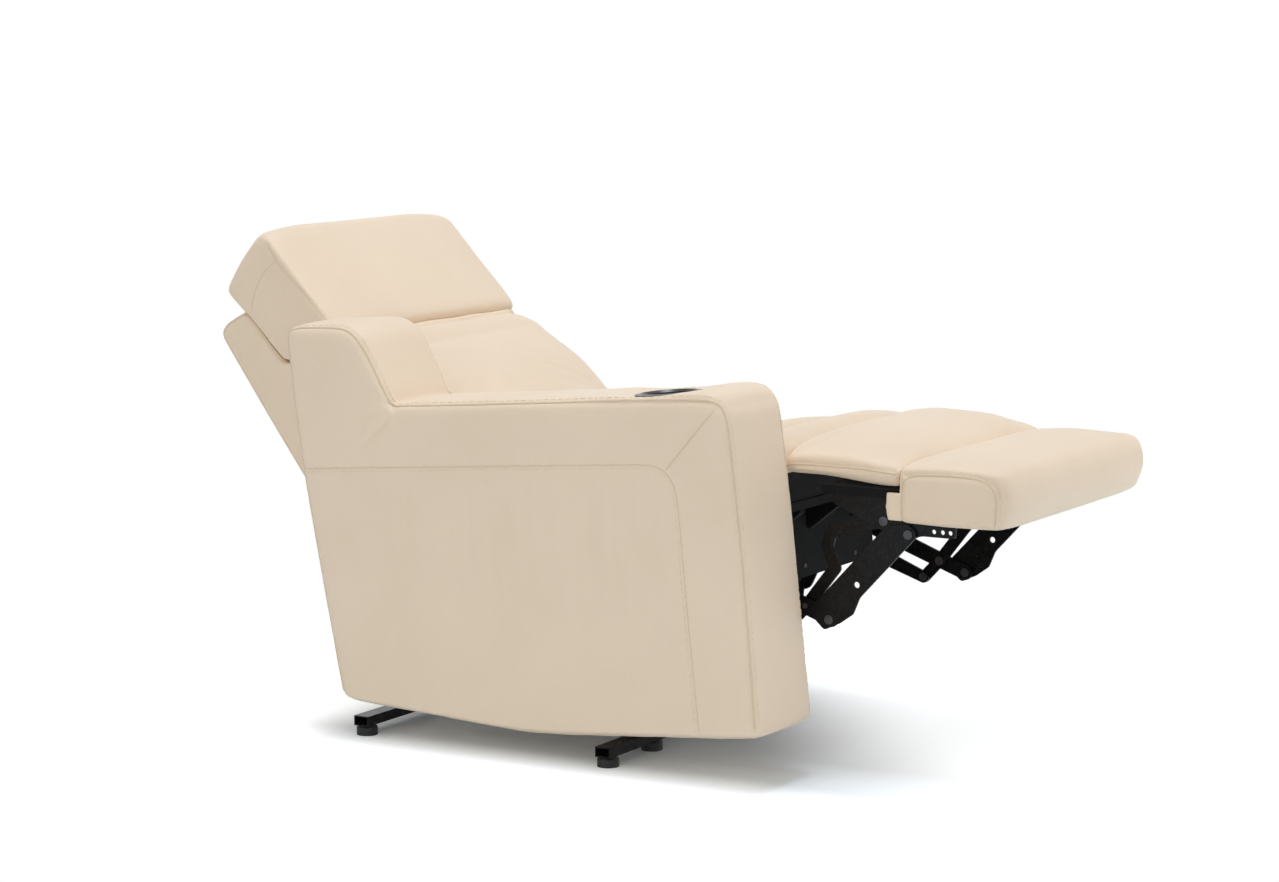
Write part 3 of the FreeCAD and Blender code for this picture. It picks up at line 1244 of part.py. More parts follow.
def report_joints(centre, leg_stroke, recline):
    rest = {
        "front rocker on base": FRONT_BASE_PIVOT,
        "seat on front rocker": reclined(FRONT_ROCKER_PIVOT),
        "rear rocker on base": REAR_BASE_PIVOT,
        "rear rocker eye": reclined(REAR_ROCKER_PIVOT),
        "back link on base": BACK_LINK_PIVOT,
        "back link eye": back_reclined(BACK_LINK_LUG),
        "back hinge": reclined(BACK_HINGE),
        "headrest hinge": back_reclined(HEADREST_PIVOT),
        "upper leg arm": reclined(LEG_ARM_PIVOT),
        "lower leg arm": reclined(LOWER_ARM_PIVOT),
        "coupler on leg arm": reclined(LEG_ARM_END),
        "hooked link on leg arm": reclined(CROSSING),
        "legrest on coupler": reclined(COUPLER_END),
        "recline drive pivot": reclined(RECLINE_DRIVE_PIVOT),
        "recline drive eye": back_reclined(BACK_DRIVE_TUBE),
    }
    for name, point in rest.items():
        print("pivot %-24s y %9.3f z %9.3f" % (name, point[0] - centre, point[1]))
    swings = {
        "front rocker": (FRONT_BASE_PIVOT, FRONT_ROCKER_PIVOT, reclined(FRONT_ROCKER_PIVOT)),
        "rear rocker": (REAR_BASE_PIVOT, REAR_ROCKER_PIVOT, reclined(REAR_ROCKER_PIVOT)),
        "back link": (BACK_LINK_PIVOT, BACK_LINK_LUG, back_reclined(BACK_LINK_LUG)),
    }
    for name, (pivot, closed, open_) in swings.items():
        print("swing %-14s %.4f" % (name, direction(pivot, closed) - direction(pivot, open_)))
    span, upright, angle = recline
    closed = direction(RECLINE_DRIVE_PIVOT, BACK_DRIVE_TUBE)
    print("recline drive at rest %.3f closed %.3f angle %.3f turn on seat %.4f"
          % (span, upright, angle, closed - (angle + SEAT_TILT)))
    print("legrest drive stroke %.4f" % leg_stroke)
    print("headrest drive stroke %.4f direction %.3f"
          % (2 * HEADREST_LUG_RADIUS * math.sin(math.radians(HEADREST_ANGLE / 2)),
             HEADREST_LUG_ANGLE + HEADREST_ANGLE / 2 + 90 - RECLINE_ANGLE - SEAT_TILT))


def main():
    base()
    rockers()
    seat_frame()
    seat_cushions()
    arm()
    legrest_links()
    legrest()
    back()
    headrest()
    leg_stroke = legrest_drive()
    recline = recline_drive()
    front = min(shape.BoundBox.YMin for shape in NODES.values())
    rear = max(shape.BoundBox.YMax for shape in NODES.values())
    centre = (front + rear) / 2
    os.makedirs("parts", exist_ok=True)
    for name, shape in NODES.items():
        shape.translate(Vector(0, -centre, 0))
        shape.exportStep("parts/%s.step" % name)
    print("nodes %d, y from %.1f to %.1f, centre %.3f" % (len(NODES), front, rear, centre))
    for name, shape in NODES.items():
        if not shape.isValid() or len(shape.Solids) < 1:
            print("not valid: %s" % name)
    report_joints(centre, leg_stroke, recline)


main()
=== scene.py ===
import bpy
import json
import math
import numpy as np
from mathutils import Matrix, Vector
from mathutils.bvhtree import BVHTree
from mathutils.kdtree import KDTree


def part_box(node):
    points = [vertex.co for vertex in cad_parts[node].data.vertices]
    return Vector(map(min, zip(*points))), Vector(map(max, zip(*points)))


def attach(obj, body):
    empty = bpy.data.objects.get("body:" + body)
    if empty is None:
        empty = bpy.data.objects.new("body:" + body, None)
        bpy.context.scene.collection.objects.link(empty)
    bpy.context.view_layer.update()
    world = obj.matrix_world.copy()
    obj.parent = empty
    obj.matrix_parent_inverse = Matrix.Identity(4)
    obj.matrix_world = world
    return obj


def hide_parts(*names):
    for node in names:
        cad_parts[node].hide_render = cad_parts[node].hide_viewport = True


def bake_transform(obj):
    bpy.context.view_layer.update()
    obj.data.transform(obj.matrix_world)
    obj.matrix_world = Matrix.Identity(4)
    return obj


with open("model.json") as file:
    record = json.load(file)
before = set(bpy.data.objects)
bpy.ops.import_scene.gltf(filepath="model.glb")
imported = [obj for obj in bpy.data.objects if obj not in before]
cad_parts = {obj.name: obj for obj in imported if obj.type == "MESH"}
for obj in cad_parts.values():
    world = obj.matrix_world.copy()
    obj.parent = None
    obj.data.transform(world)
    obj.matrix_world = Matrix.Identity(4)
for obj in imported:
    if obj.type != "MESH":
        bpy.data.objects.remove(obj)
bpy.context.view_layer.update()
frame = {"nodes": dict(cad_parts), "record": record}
scene = bpy.context.scene

# Places. The closed chair is described in millimetres: y back from the front feet, z up.
# The seat lies shifted and tipped, and the back lies turned about its hinge as well.
CENTRE = 520.0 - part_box("foot_glides")[1].y * 1000
SEAT_FORWARD, SEAT_RISE, SEAT_TIP = 120, 20, 5
HINGE, BACK_TILT = (498.0, 249.0), 27
LEG_FORWARD, LEG_HEIGHT, LEG_TIP = 165, 477, 5
LEFT, RIGHT = -205.0, 405.0
ALONG_X = np.array((1.0, 0.0, 0.0))


def turned(y, z, angle, about=(0.0, 0.0)):
    c, s = math.cos(math.radians(angle)), math.sin(math.radians(angle))
    y, z = y - about[0], z - about[1]
    return about[0] + y * c - z * s, about[1] + y * s + z * c


def seat(x, y, z):
    y, z = turned(y - SEAT_FORWARD, z + SEAT_RISE, -SEAT_TIP)
    return Vector((x, y - CENTRE, z)) / 1000


def back(x, y, z):
    y, z = turned(y, z, -BACK_TILT, HINGE)
    return seat(x, y, z)


# A place on the legrest: s out along it, t up from it
def leg(x, s, t):
    y, z = turned(-s, t, LEG_TIP)
    return seat(x, y - LEG_FORWARD, z + LEG_HEIGHT)


# The closed chair's y and z of points on the seat, in millimetres
def seat_yz(co):
    y, z = turned(co[:, 1] * 1000 + CENTRE, co[:, 2] * 1000, SEAT_TIP)
    return y + SEAT_FORWARD, z - SEAT_RISE


# The same of points on the upright back
def back_yz(co):
    return turned(*seat_yz(co), BACK_TILT, HINGE)


# Directions about a metre long on the reclined seat, back and legrest
SEAT_REAR = np.array(seat(0, 1000, 0) - seat(0, 0, 0))
SEAT_UP = np.array(seat(0, 0, 1000) - seat(0, 0, 0))
BACK_UP = np.array(back(0, 0, 1000) - back(0, 0, 0))
BACK_REAR = np.array(back(0, 100, -19) - back(0, 0, 0)) * 10
LEG_OUT = np.array(leg(0, 1000, 0) - leg(0, 0, 0))
LEG_UP = np.array(leg(0, 0, 1000) - leg(0, 0, 0))


# Smooth 0 to 1 as v goes from a to b
def step(v, a, b):
    t = np.clip((v - a) / (b - a), 0, 1)
    return t * t * (3 - 2 * t)


# Moves in a direction, by each point's share of it
def along(direction, share):
    return share[:, None] * direction


# Meshes
def new_mesh(name, verts, faces, smooth=True):
    me = bpy.data.meshes.new(name)
    me.from_pydata([tuple(v) for v in verts], [], faces)
    me.update()
    if smooth:
        me.polygons.foreach_set("use_smooth", [True] * len(me.polygons))
    o = bpy.data.objects.new(name, me)
    scene.collection.objects.link(o)
    return o


def read(vertices, field):
    values = np.zeros(len(vertices) * 3, np.float32)
    vertices.foreach_get(field, values)
    return values.reshape(-1, 3).astype(float)


def coords(o):
    return read(o.data.vertices, "co")


def normals(o):
    return read(o.data.vertices, "normal")


def put(o, co):
    o.data.vertices.foreach_set("co", co.astype(np.float32).ravel())
    o.data.update()


def apply_modifiers(o):
    dg = bpy.context.evaluated_depsgraph_get()
    me = bpy.data.meshes.new_from_object(o.evaluated_get(dg))
    o.modifiers.clear()
    old = o.data
    o.data = me
    bpy.data.meshes.remove(old)


# Each vertex goes half the way to the middle of its neighbours, again and again
def relax(o, rounds):
    ends = np.zeros(len(o.data.edges) * 2, np.int64)
    o.data.edges.foreach_get("vertices", ends)
    e = ends.reshape(-1, 2)
    co = coords(o)
    count = np.bincount(ends, minlength=len(co)).astype(float)[:, None]
    for _ in range(rounds):
        total = np.zeros_like(co)
        np.add.at(total, e[:, 0], co[e[:, 1]])
        np.add.at(total, e[:, 1], co[e[:, 0]])
        co = co + 0.5 * (total / count - co)
    put(o, co)


def remesh(o, voxel):
    m = o.modifiers.new("remesh", "REMESH")
    m.mode = "VOXEL"
    m.voxel_size = voxel
    apply_modifiers(o)


WELD = 0.00005


def copy_of(node, name, voxel):
    me = frame["nodes"][node].data.copy()
    me.materials.clear()
    o = bpy.data.objects.new(name, me)
    scene.collection.objects.link(o)
    weld = o.modifiers.new("weld", "WELD")
    weld.merge_threshold = WELD
    remesh(o, voxel)
    return o


# Cloth pushed out by pressure, with no point moving further than the cap
PRESSURE, CLOTH_FRAMES, CLOTH_QUALITY, CLOTH_MASS = 4.0, 20, 4, 0.25
STIFFNESS, SHEAR, BENDING = 15.0, 7.5, 0.8
LEAST_PIN = 0.02


def inflate(o, pins, cap):
    group = o.vertex_groups.new(name="pin")
    for i in np.nonzero(pins > LEAST_PIN)[0]:
        group.add([int(i)], float(pins[i]), "REPLACE")
    m = o.modifiers.new("cloth", "CLOTH")
    s = m.settings
    s.quality = CLOTH_QUALITY
    s.mass = CLOTH_MASS
    s.tension_stiffness = STIFFNESS
    s.compression_stiffness = STIFFNESS
    s.shear_stiffness = SHEAR
    s.bending_stiffness = BENDING
    s.use_pressure = True
    s.uniform_pressure_force = PRESSURE
    s.effector_weights.gravity = 0.0
    s.vertex_group_mass = "pin"
    m.collision_settings.use_collision = False
    m.point_cache.frame_start = 1
    m.point_cache.frame_end = CLOTH_FRAMES
    start = coords(o)
    for f in range(1, CLOTH_FRAMES + 1):
        scene.frame_set(f)
    dg = bpy.context.evaluated_depsgraph_get()
    move = read(o.evaluated_get(dg).data.vertices, "co") - start
    o.modifiers.clear()
    o.vertex_groups.clear()
    length = np.linalg.norm(move, axis=1, keepdims=True) + 1e-9
    put(o, start + move / length * cap * np.tanh(length / cap))
    scene.frame_set(1)


def subdivide(o):
    m = o.modifiers.new("sub", "SUBSURF")
    m.levels = 1
    m.render_levels = 1
    apply_modifiers(o)


def resample(points, pitch):
    out = [points[0]]
    for a, b in zip(points, points[1:]):
        n = max(1, int(round((b - a).length / pitch)))
        out += [a.lerp(b, k / n) for k in range(1, n + 1)]
    return out


# Open line through corner points, rounded by repeated corner cutting
def rounded(points, rounds=2):
    for _ in range(rounds):
        out = [points[0]]
        for a, b in zip(points, points[1:]):
            out += [a.lerp(b, 0.25), a.lerp(b, 0.75)]
        out.append(points[-1])
        del out[1], out[-2]
        points = out
    return points


TREES = {}


def tree_of(o):
    if o.name not in TREES:
        TREES[o.name] = BVHTree.FromPolygons([v.co.copy() for v in o.data.vertices],
                                             [tuple(p.vertices) for p in o.data.polygons])
    return TREES[o.name]


# The line on the nearest places of a surface, and the surface's normals there
def laid_on(tree, points, lift=0.0):
    line, ups = [], []
    for p in points:
        hit, no, _, _ = tree.find_nearest(p)
        line.append(hit)
        ups.append(no)
    for _ in range(2):
        ups = [sum(ups[max(0, i - 2):i + 3], Vector()).normalized() for i in range(len(ups))]
        inner = [(line[i - 1] + line[i] * 2 + line[i + 1]) / 4 for i in range(1, len(line) - 1)]
        line = [line[0]] + inner + [line[-1]]
    return [p + n * lift for p, n in zip(line, ups)], ups


def heading(line, i):
    return (line[min(i + 1, len(line) - 1)] - line[max(i - 1, 0)]).normalized()


# The directions up and aside at a point of a line
def upright(line, ups, i):
    ahead = heading(line, i)
    up = (ups[i] - ahead * ups[i].dot(ahead)).normalized()
    return up, ahead.cross(up)


# Faces between rings of vertices that follow each other
def ring_faces(base, rings, sides):
    faces = []
    for i in range(rings - 1):
        for k in range(sides):
            a, b = base + i * sides + k, base + i * sides + (k + 1) % sides
            faces.append((a, b, b + sides, a + sides))
    return faces


TUBE_SIDES, TUBE_TIP = 8, 0.35


def tube(name, line, ups, radius):
    sides = TUBE_SIDES
    n = len(line)
    verts = []
    for i, p in enumerate(line):
        up, side = upright(line, ups, i)
        r = radius * (TUBE_TIP if i in (0, n - 1) else 1.0)
        for k in range(sides):
            a = 2 * math.pi * k / sides
            verts.append(p + up * math.cos(a) * r + side * math.sin(a) * r)
    faces = ring_faces(0, n, sides)
    faces.append(tuple(range(sides))[::-1])
    faces.append(tuple(range((n - 1) * sides, n * sides)))
    return new_mesh(name, verts, faces)


STITCH_PITCH, STITCH_LENGTH, STITCH_RADIUS, STITCH_SIDES = 0.0075, 0.005, 0.00065, 6
# Each ring's place along the stitch, share of the radius, and lift
STITCH_RINGS = ((-0.5, 0.3, -0.0006), (-0.3, 1.0, 0.0), (0.3, 1.0, 0.0), (0.5, 0.3, -0.0006))


def stitches(name, line, ups):
    verts, faces = [], []
    travelled, due = 0.0, STITCH_PITCH
    for i in range(1, len(line) - 1):
        travelled += (line[i] - line[i - 1]).length
        if travelled < due:
            continue
        due += STITCH_PITCH
        ahead = heading(line, i)
        up, side = upright(line, ups, i)
        base = len(verts)
        for t, r, lift in STITCH_RINGS:
            c = line[i] + ahead * t * STITCH_LENGTH + up * lift
            for j in range(STITCH_SIDES):
                a = 2 * math.pi * j / STITCH_SIDES
                verts.append(c + (up * math.cos(a) + side * math.sin(a)) * STITCH_RADIUS * r)
        faces += ring_faces(base, len(STITCH_RINGS), STITCH_SIDES)
        faces.append(tuple(base + j for j in range(STITCH_SIDES))[::-1])
        faces.append(tuple(range(len(verts) - STITCH_SIDES, len(verts))))
    return new_mesh(name, verts, faces)


def distance_to(lines, co):
    points = [p for line in lines for p in line]
    tree = KDTree(len(points))
    for k, p in enumerate(points):
        tree.insert(p, k)
    tree.balance()
    return np.array([tree.find(Vector(c))[2] for c in co])


# Broad soft undulation of stretched leather, the same on every run
RIPPLE_WAVES = 9


def ripple(co, size, seed):
    rng = np.random.default_rng(seed)
    out = np.zeros(len(co))
    for _ in range(RIPPLE_WAVES):
        d = rng.normal(size=3)
        d /= np.linalg.norm(d)
        out += np.sin(co @ d / size * 2 * math.pi * rng.uniform(0.6, 1.6) + rng.uniform(0, 6.28))
    return out / RIPPLE_WAVES


# Small folds that run out from a pulled corner
def pucker(co, no, centre, reach, amount, count, phase):
    d = co - np.array(centre)
    flat = d - no * np.sum(d * no, axis=1, keepdims=True)
    ref = np.array([0.21, 0.52, 0.83])
    angle = np.arctan2(np.sum(flat * np.cross(no, ref), axis=1), flat @ ref)
    far = np.linalg.norm(d, axis=1)
    fade = np.exp(-(far / reach) ** 1.4) * (1 - np.exp(-(far / (reach * 0.2)) ** 2))
    return amount * fade * np.sin(count * angle + phase)


# Materials: an input given as a socket is linked, and any other is set
def feed(nt, node, inputs):
    for key, value in inputs.items():
        if isinstance(value, bpy.types.NodeSocket):
            nt.links.new(value, node.inputs[key])
        else:
            node.inputs[key].default_value = value


def add(nt, kind, inputs=None, **props):
    n = nt.nodes.new("ShaderNode" + kind)
    for key, value in props.items():
        setattr(n, key, value)
    feed(nt, n, inputs or {})
    return n


def material(name):
    m = bpy.data.materials.new(name)
    m.use_nodes = True
    nt = m.node_tree
    nt.nodes.clear()
    bsdf = add(nt, "BsdfPrincipled")
    add(nt, "OutputMaterial", {0: bsdf.outputs[0]})
    return m, nt, bsdf


def srgb(r, g, b):
    f = lambda c: c / 12.92 if c <= 0.04045 else ((c + 0.055) / 1.055) ** 2.4
    return (f(r / 255), f(g / 255), f(b / 255), 1.0)


def position(nt, scale=(1, 1, 1)):
    place = add(nt, "TexCoord")
    return add(nt, "Mapping", {"Vector": place.outputs["Object"], "Scale": scale}).outputs["Vector"]


def cloudy(nt, place, scale, detail, rough=0.5, warp=0.0):
    return add(nt, "TexNoise", {"Vector": place, "Scale": scale, "Detail": detail, "Roughness": rough,
                                "Distortion": warp}).outputs["Fac"]


def ramp(nt, source, stops):
    r = add(nt, "ValToRGB", {"Fac": source})
    els = r.color_ramp.elements
    while len(els) < len(stops):
        els.new(0.5)
    for e, (p, c) in zip(els, stops):
        e.position = p
        e.color = c if len(c) == 4 else (*c, 1)
    return r.outputs["Color"]


def mix(nt, fac, a, b, kind="MIX"):
    return add(nt, "Mix", {0: fac, 6: a, 7: b}, data_type="RGBA", blend_type=kind).outputs[2]


def between(nt, source, low, high):
    return add(nt, "MapRange", {"Value": source, "To Min": low, "To Max": high}).outputs["Result"]


def bump(nt, height, strength, distance, under=None):
    n = add(nt, "Bump", {"Height": height, "Strength": strength, "Distance": distance})
    if under:
        feed(nt, n, {"Normal": under})
    return n.outputs["Normal"]


def sums(nt, kind, a, b):
    return add(nt, "Math", {0: a, 1: b}, operation=kind).outputs[0]


def leather(name, tone=(236, 216, 191), grain=1.0):
    m, nt, bsdf = material(name)
    p = position(nt)
    base = srgb(*tone)
    light = tuple(min(1, c * 1.015) for c in base[:3]) + (1,)
    dark = (base[0] * 0.98, base[1] * 0.974, base[2] * 0.965, 1)
    colour = ramp(nt, cloudy(nt, p, 5.0, 3.0, 0.55), [(0.32, dark), (0.5, base), (0.7, light)])
    pores = add(nt, "TexVoronoi", {"Vector": p, "Scale": 620.0, "Randomness": 0.9}, feature="DISTANCE_TO_EDGE")
    crack = ramp(nt, pores.outputs["Distance"], [(0.0, (0.80, 0.78, 0.75)), (0.09, (1, 1, 1))])
    colour = mix(nt, 0.35, colour, crack, "MULTIPLY")
    # Painted shade: the leather's colour is darkened where the surface is hollow, in creases and along seams, as if
    # less light reached there; raised edges keep their colour
    edges = add(nt, "NewGeometry").outputs["Pointiness"]
    painted_crease_shade = ramp(nt, edges, [(0.44, (0.86, 0.83, 0.79)), (0.5, (1, 1, 1)), (0.58, (1, 1, 1))])
    folds = bump(nt, cloudy(nt, p, 26.0, 4.0, 0.62, 0.6), 0.07, 0.003)
    grained = bump(nt, pores.outputs["Distance"], 0.22 * grain, 0.0005, folds)
    feed(nt, bsdf, {"Base Color": mix(nt, 0.8, colour, painted_crease_shade, "MULTIPLY"),
                    "Roughness": between(nt, cloudy(nt, p, 14.0, 4.0, 0.6), 0.43, 0.6),
                    "Specular IOR Level": 0.38, "Sheen Weight": 0.06, "Sheen Roughness": 0.45,
                    "Normal": bump(nt, cloudy(nt, p, 1500.0, 2.0), 0.08 * grain, 0.0003, grained)})
    return m


def metal(name, colour, rough, metallic, wear=None, speck=0.15, bumps=0.1, scale=60.0, gloss=0.5):
    m, nt, bsdf = material(name)
    p = position(nt)
    cloud = cloudy(nt, p, scale, 5.0, 0.6)
    base = srgb(*colour)
    low = tuple(c * (1 - speck) for c in base[:3]) + (1,)
    high = tuple(min(1, c * (1 + 2 * speck) + 0.004) for c in base[:3]) + (1,)
    c = ramp(nt, cloud, [(0.35, low), (0.5, base), (0.72, high)])
    if wear:
        edges = add(nt, "NewGeometry").outputs["Pointiness"]
        edge = ramp(nt, edges, [(0.55, (0, 0, 0)), (0.62, (1, 1, 1))])
        scratch = ramp(nt, cloudy(nt, p, 180.0, 6.0, 0.7), [(0.5, (0, 0, 0)), (0.66, (1, 1, 1))])
        c = mix(nt, mix(nt, 1.0, edge, scratch, "MULTIPLY"), c, srgb(*wear))
    feed(nt, bsdf, {"Base Color": c, "Roughness": between(nt, cloud, max(0.05, rough - 0.1), rough + 0.12),
                    "Metallic": metallic, "Specular IOR Level": gloss,
                    "Normal": bump(nt, cloudy(nt, p, 900.0, 2.0), bumps, 0.0004)})
    return m


def timber(name):
    m, nt, bsdf = material(name)
    grain = cloudy(nt, position(nt, (3.0, 40.0, 40.0)), 1.6, 8.0, 0.6, 1.2)
    tones = [(0.3, srgb(168, 126, 82)), (0.5, srgb(199, 160, 112)), (0.68, srgb(216, 182, 138))]
    feed(nt, bsdf, {"Base Color": ramp(nt, grain, tones), "Roughness": 0.62,
                    "Normal": bump(nt, grain, 0.25, 0.0006)})
    return m


def woven(name, dark, light, pitch):
    m, nt, bsdf = material(name)
    p = position(nt)
    x, y, z = [add(nt, "TexWave", {"Vector": p, "Scale": 1.0 / pitch, "Distortion": 0.4, "Detail": 1.0},
                   wave_type="BANDS", bands_direction=axis).outputs["Fac"] for axis in ("X", "Y", "Z")]
    weave = sums(nt, "ADD", sums(nt, "MULTIPLY", x, y), z)
    tones = [(0.3, srgb(*dark)), (0.7, srgb(*light))]
    feed(nt, bsdf, {"Base Color": ramp(nt, cloudy(nt, p, 30.0, 5.0), tones), "Roughness": 0.9,
                    "Sheen Weight": 0.05, "Specular IOR Level": 0.2, "Normal": bump(nt, weave, 0.3, 0.0006)})
    return m


LEATHER = leather("leather_cream")
WELT = leather("leather_welt", (222, 202, 176), grain=0.5)
THREAD = metal("thread", (226, 209, 187), 0.8, 0.0, speck=0.1, bumps=0.2)
ZINC = metal("zinc", (84, 84, 88), 0.36, 0.85)
CLOTH = woven("black_cloth", (9, 9, 10), (19, 19, 21), 0.0016)
BY_SLOT = {
    "leather": LEATHER,
    "black_steel": metal("black_paint", (8, 8, 9), 0.28, 0.0, wear=(30, 30, 33), speck=0.05, bumps=0.05, gloss=0.22),
    "bright_steel": ZINC,
    "dark_metal": metal("dark_metal", (64, 63, 64), 0.3, 0.9, speck=0.12, scale=25.0),
    "black_plastic": metal("black_plastic", (24, 24, 25), 0.5, 0.0, speck=0.2, bumps=0.25),
    "panel_plastic": metal("panel_plastic", (34, 34, 36), 0.22, 0.0, speck=0.1),
    "key_plastic": metal("key_plastic", (150, 150, 152), 0.42, 0.0, speck=0.08),
    "timber": timber("timber"),
    "black_cloth": CLOTH,
    "webbing": woven("webbing", (96, 88, 74), (128, 118, 100), 0.0022),
}
for part in frame["record"]["subparts"]:
    node = frame["nodes"][part["node"]]
    node.data.materials.clear()
    node.data.materials.append(BY_SLOT[part["material_slot"]])


# Dressing a piece
def dress(o, mat, body):
    o.data.materials.clear()
    o.data.materials.append(mat)
    o.data.polygons.foreach_set("use_smooth", [True] * len(o.data.polygons))
    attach(o, body)
    return o


# Welt laid on the finished surface, with a row of stitches beside it if stitch says how far aside
SEAM_PITCH, STITCH_LIFT = 0.005, 0.0003


def seam(o, name, body, points, radius=0.0018, lift=0.0002, stitch=None, corners=2):
    on, ups = laid_on(tree_of(o), resample(rounded(points, corners), SEAM_PITCH), lift)
    dress(tube(name, on, ups, radius), WELT, body)
    if stitch:
        aside = [p + heading(on, i).cross(ups[i]).normalized() * stitch for i, p in enumerate(on)]
        dress(stitches(name + "_stitch1", *laid_on(tree_of(o), aside, STITCH_LIFT)), THREAD, body)


# One seam for each line, numbered from 1
def seams(o, name, body, lines, *look, **more):
    for k, line in enumerate(lines):
        seam(o, "%s%d" % (name, k + 1), body, line, *look, **more)


# Grooves along the lines, fullness between them, undulation, folds and moves
GROOVE_PITCH = 0.004


def soften(o, lines, groove=0.003, width=0.007, puff=0.0, reach=0.05, undulate=0.0, size=0.2, seed=1, puckers=(),
           keep=None, extra=None, shift=None):
    co, no = coords(o), normals(o)
    move = np.zeros(len(co))
    if extra is not None:
        move += extra(co, no)
    if lines:
        d = distance_to([resample(line, GROOVE_PITCH) for line in lines], co)
        move += -groove * np.exp(-(d / width) ** 2) + puff * (1 - np.exp(-(d / reach) ** 1.5))
    if undulate:
        move += undulate * ripple(co, size, seed)
    for fold in puckers:
        move += pucker(co, no, *fold)
    if keep is not None:
        move *= keep
    new = co + no * move[:, None]
    if shift is not None:
        new = new + shift(co)
    put(o, new)


# A soft piece in place of a CAD node. It is swollen by cloth where pinned says which points stay.
SHRINK, PIN_PITCH, PIN_REACH = 0.006, 0.006, 0.007


def pad(node, name, body, voxel, lines, pinned, fill, cap=0.022, first=3, last=2, **look):
    o = copy_of(node, name, voxel)
    relax(o, first)
    if pinned:
        co, no = coords(o), normals(o)
        pins = pinned(co, no)
        put(o, co - no * SHRINK * (1 - pins)[:, None])
        d = distance_to([resample(line, PIN_PITCH) for line in lines], co)
        pins = np.maximum(pins, np.exp(-(d / PIN_REACH) ** 2))
        inflate(o, pins, cap)
        relax(o, last)
    subdivide(o)
    soften(o, lines, **look)
    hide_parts(node)
    dress(o, LEATHER, body)
    return o


# Lines along a pad's two ends
def both_ends(place, points, x0=LEFT, x1=RIGHT):
    return [[place(x, a, b) for a, b in points] for x in (x0, x1)]


# Arm: framed side panel, welted edge over the wing, mitred corner at the front
ARM_OUTER, ARM_INNER = -405.0, -214
ARM_WELT = ARM_OUTER + 4
ARM_EDGE = [(-194, 60), (-196, 300), (-192, 480), (-188, 580), (-172, 606), (-110, 610), (100, 612), (400, 614),
            (470, 616), (484, 636), (520, 716), (548, 750), (590, 757), (650, 760), (674, 750)]
ARM_REAR = [(674, 750), (676, 640), (664, 500), (648, 330), (620, 110)]
ARM_PANEL = [(663, 509), (400, 507), (120, 505), (-30, 504), (-64, 498), (-86, 474), (-92, 430), (-93, 276),
             (-99, 52)]
ARM_MITRE = [(-72, 494), (-170, 594)]
CUP, CUP_REACH = (-307.5, -31, 612), 0.095
SWITCHES, SWITCHES_REACH = (-210, 48, 574), (0.04, 0.1, 0.05)
WING_FOLD, WING_CORNER, WING_NOTCH = (478, 604), (674, 750), (466, 622)
ARM_FULLER, ARM_SPARE, ARM_INNER_THIN, ARM_UNDER_THIN = 0.006, 0.0035, 0.006, 0.005
PANEL_SINK, PANEL_RIM = 0.006, (0.002, 0.008)
# Each wrinkle's spacing in millimetres, and its phase
WRINKLES = ((41.0, 0.3), (62.0, 2.1), (88.0, 4.4), (131.0, 1.2))


# The leather stands fuller than the frame at the arm's front and rear, in metres
def fuller(y):
    return ARM_FULLER * (step(y, 500, 660) - (1 - step(y, -200, -100)))


def arm_line(x, points, full=1000):
    return [seat(x, y + full * float(fuller(y)), z) for y, z in points]


# No softening at the cup holder and the switch panel
def clear_of_fittings(co):
    cup = np.linalg.norm(co - np.array(seat(*CUP)), axis=1) / CUP_REACH
    switches = np.linalg.norm((co - np.array(seat(*SWITCHES))) / np.array(SWITCHES_REACH), axis=1)
    return (1 - np.exp(-cup ** 6)) * (1 - np.exp(-switches ** 6))


# Upright wrinkles in the side panel, the fold at the wing's foot and the full front top.
# The leather is thinner on the arm's inner face and underside.
def arm_pulls(co, no):
    y, z = seat_yz(co)
    waves = np.zeros(len(co))
    for length, phase in WRINKLES:
        waves += np.sin(2 * math.pi * (y + 10 * np.sin(z / 90.0 + phase)) / length + phase)
    patch = 0.5 + 0.5 * np.sin(y / 61.0 + 1.0) * np.sin(y / 97.0 + z / 240.0)
    tall = np.exp(-((z - 380) / 130) ** 2) * step(z, 60, 200) * (1 - step(z, 478, 502))
    side = step(-no[:, 0], 0.6, 0.95) * step(y, -92, -70) * (1 - step(y, 560, 640))
    spare = ARM_SPARE - ARM_INNER_THIN * step(no[:, 0], 0.3, 0.8) - ARM_UNDER_THIN * step(-no[:, 2], 0.3, 0.8)
    move = spare + 0.0009 * waves * patch * tall * side
    down = (y - WING_FOLD[0]) * 0.80 - (z - WING_FOLD[1]) * 0.60
    across = (y - WING_FOLD[0]) * 0.60 + (z - WING_FOLD[1]) * 0.80
    fold = np.exp(-(across / 9) ** 2) - 0.8 * np.exp(-((across + 14) / 8) ** 2)
    fade = step(down, 0, 18) * (1 - step(down, 40, 105))
    top = 0.005 * step(no[:, 2], 0.5, 0.9) * (1 - step(y, -50, 150)) * step(z, 540, 600)
    return move + top + 0.0028 * fold * fade * step(-no[:, 0], 0.5, 0.9)


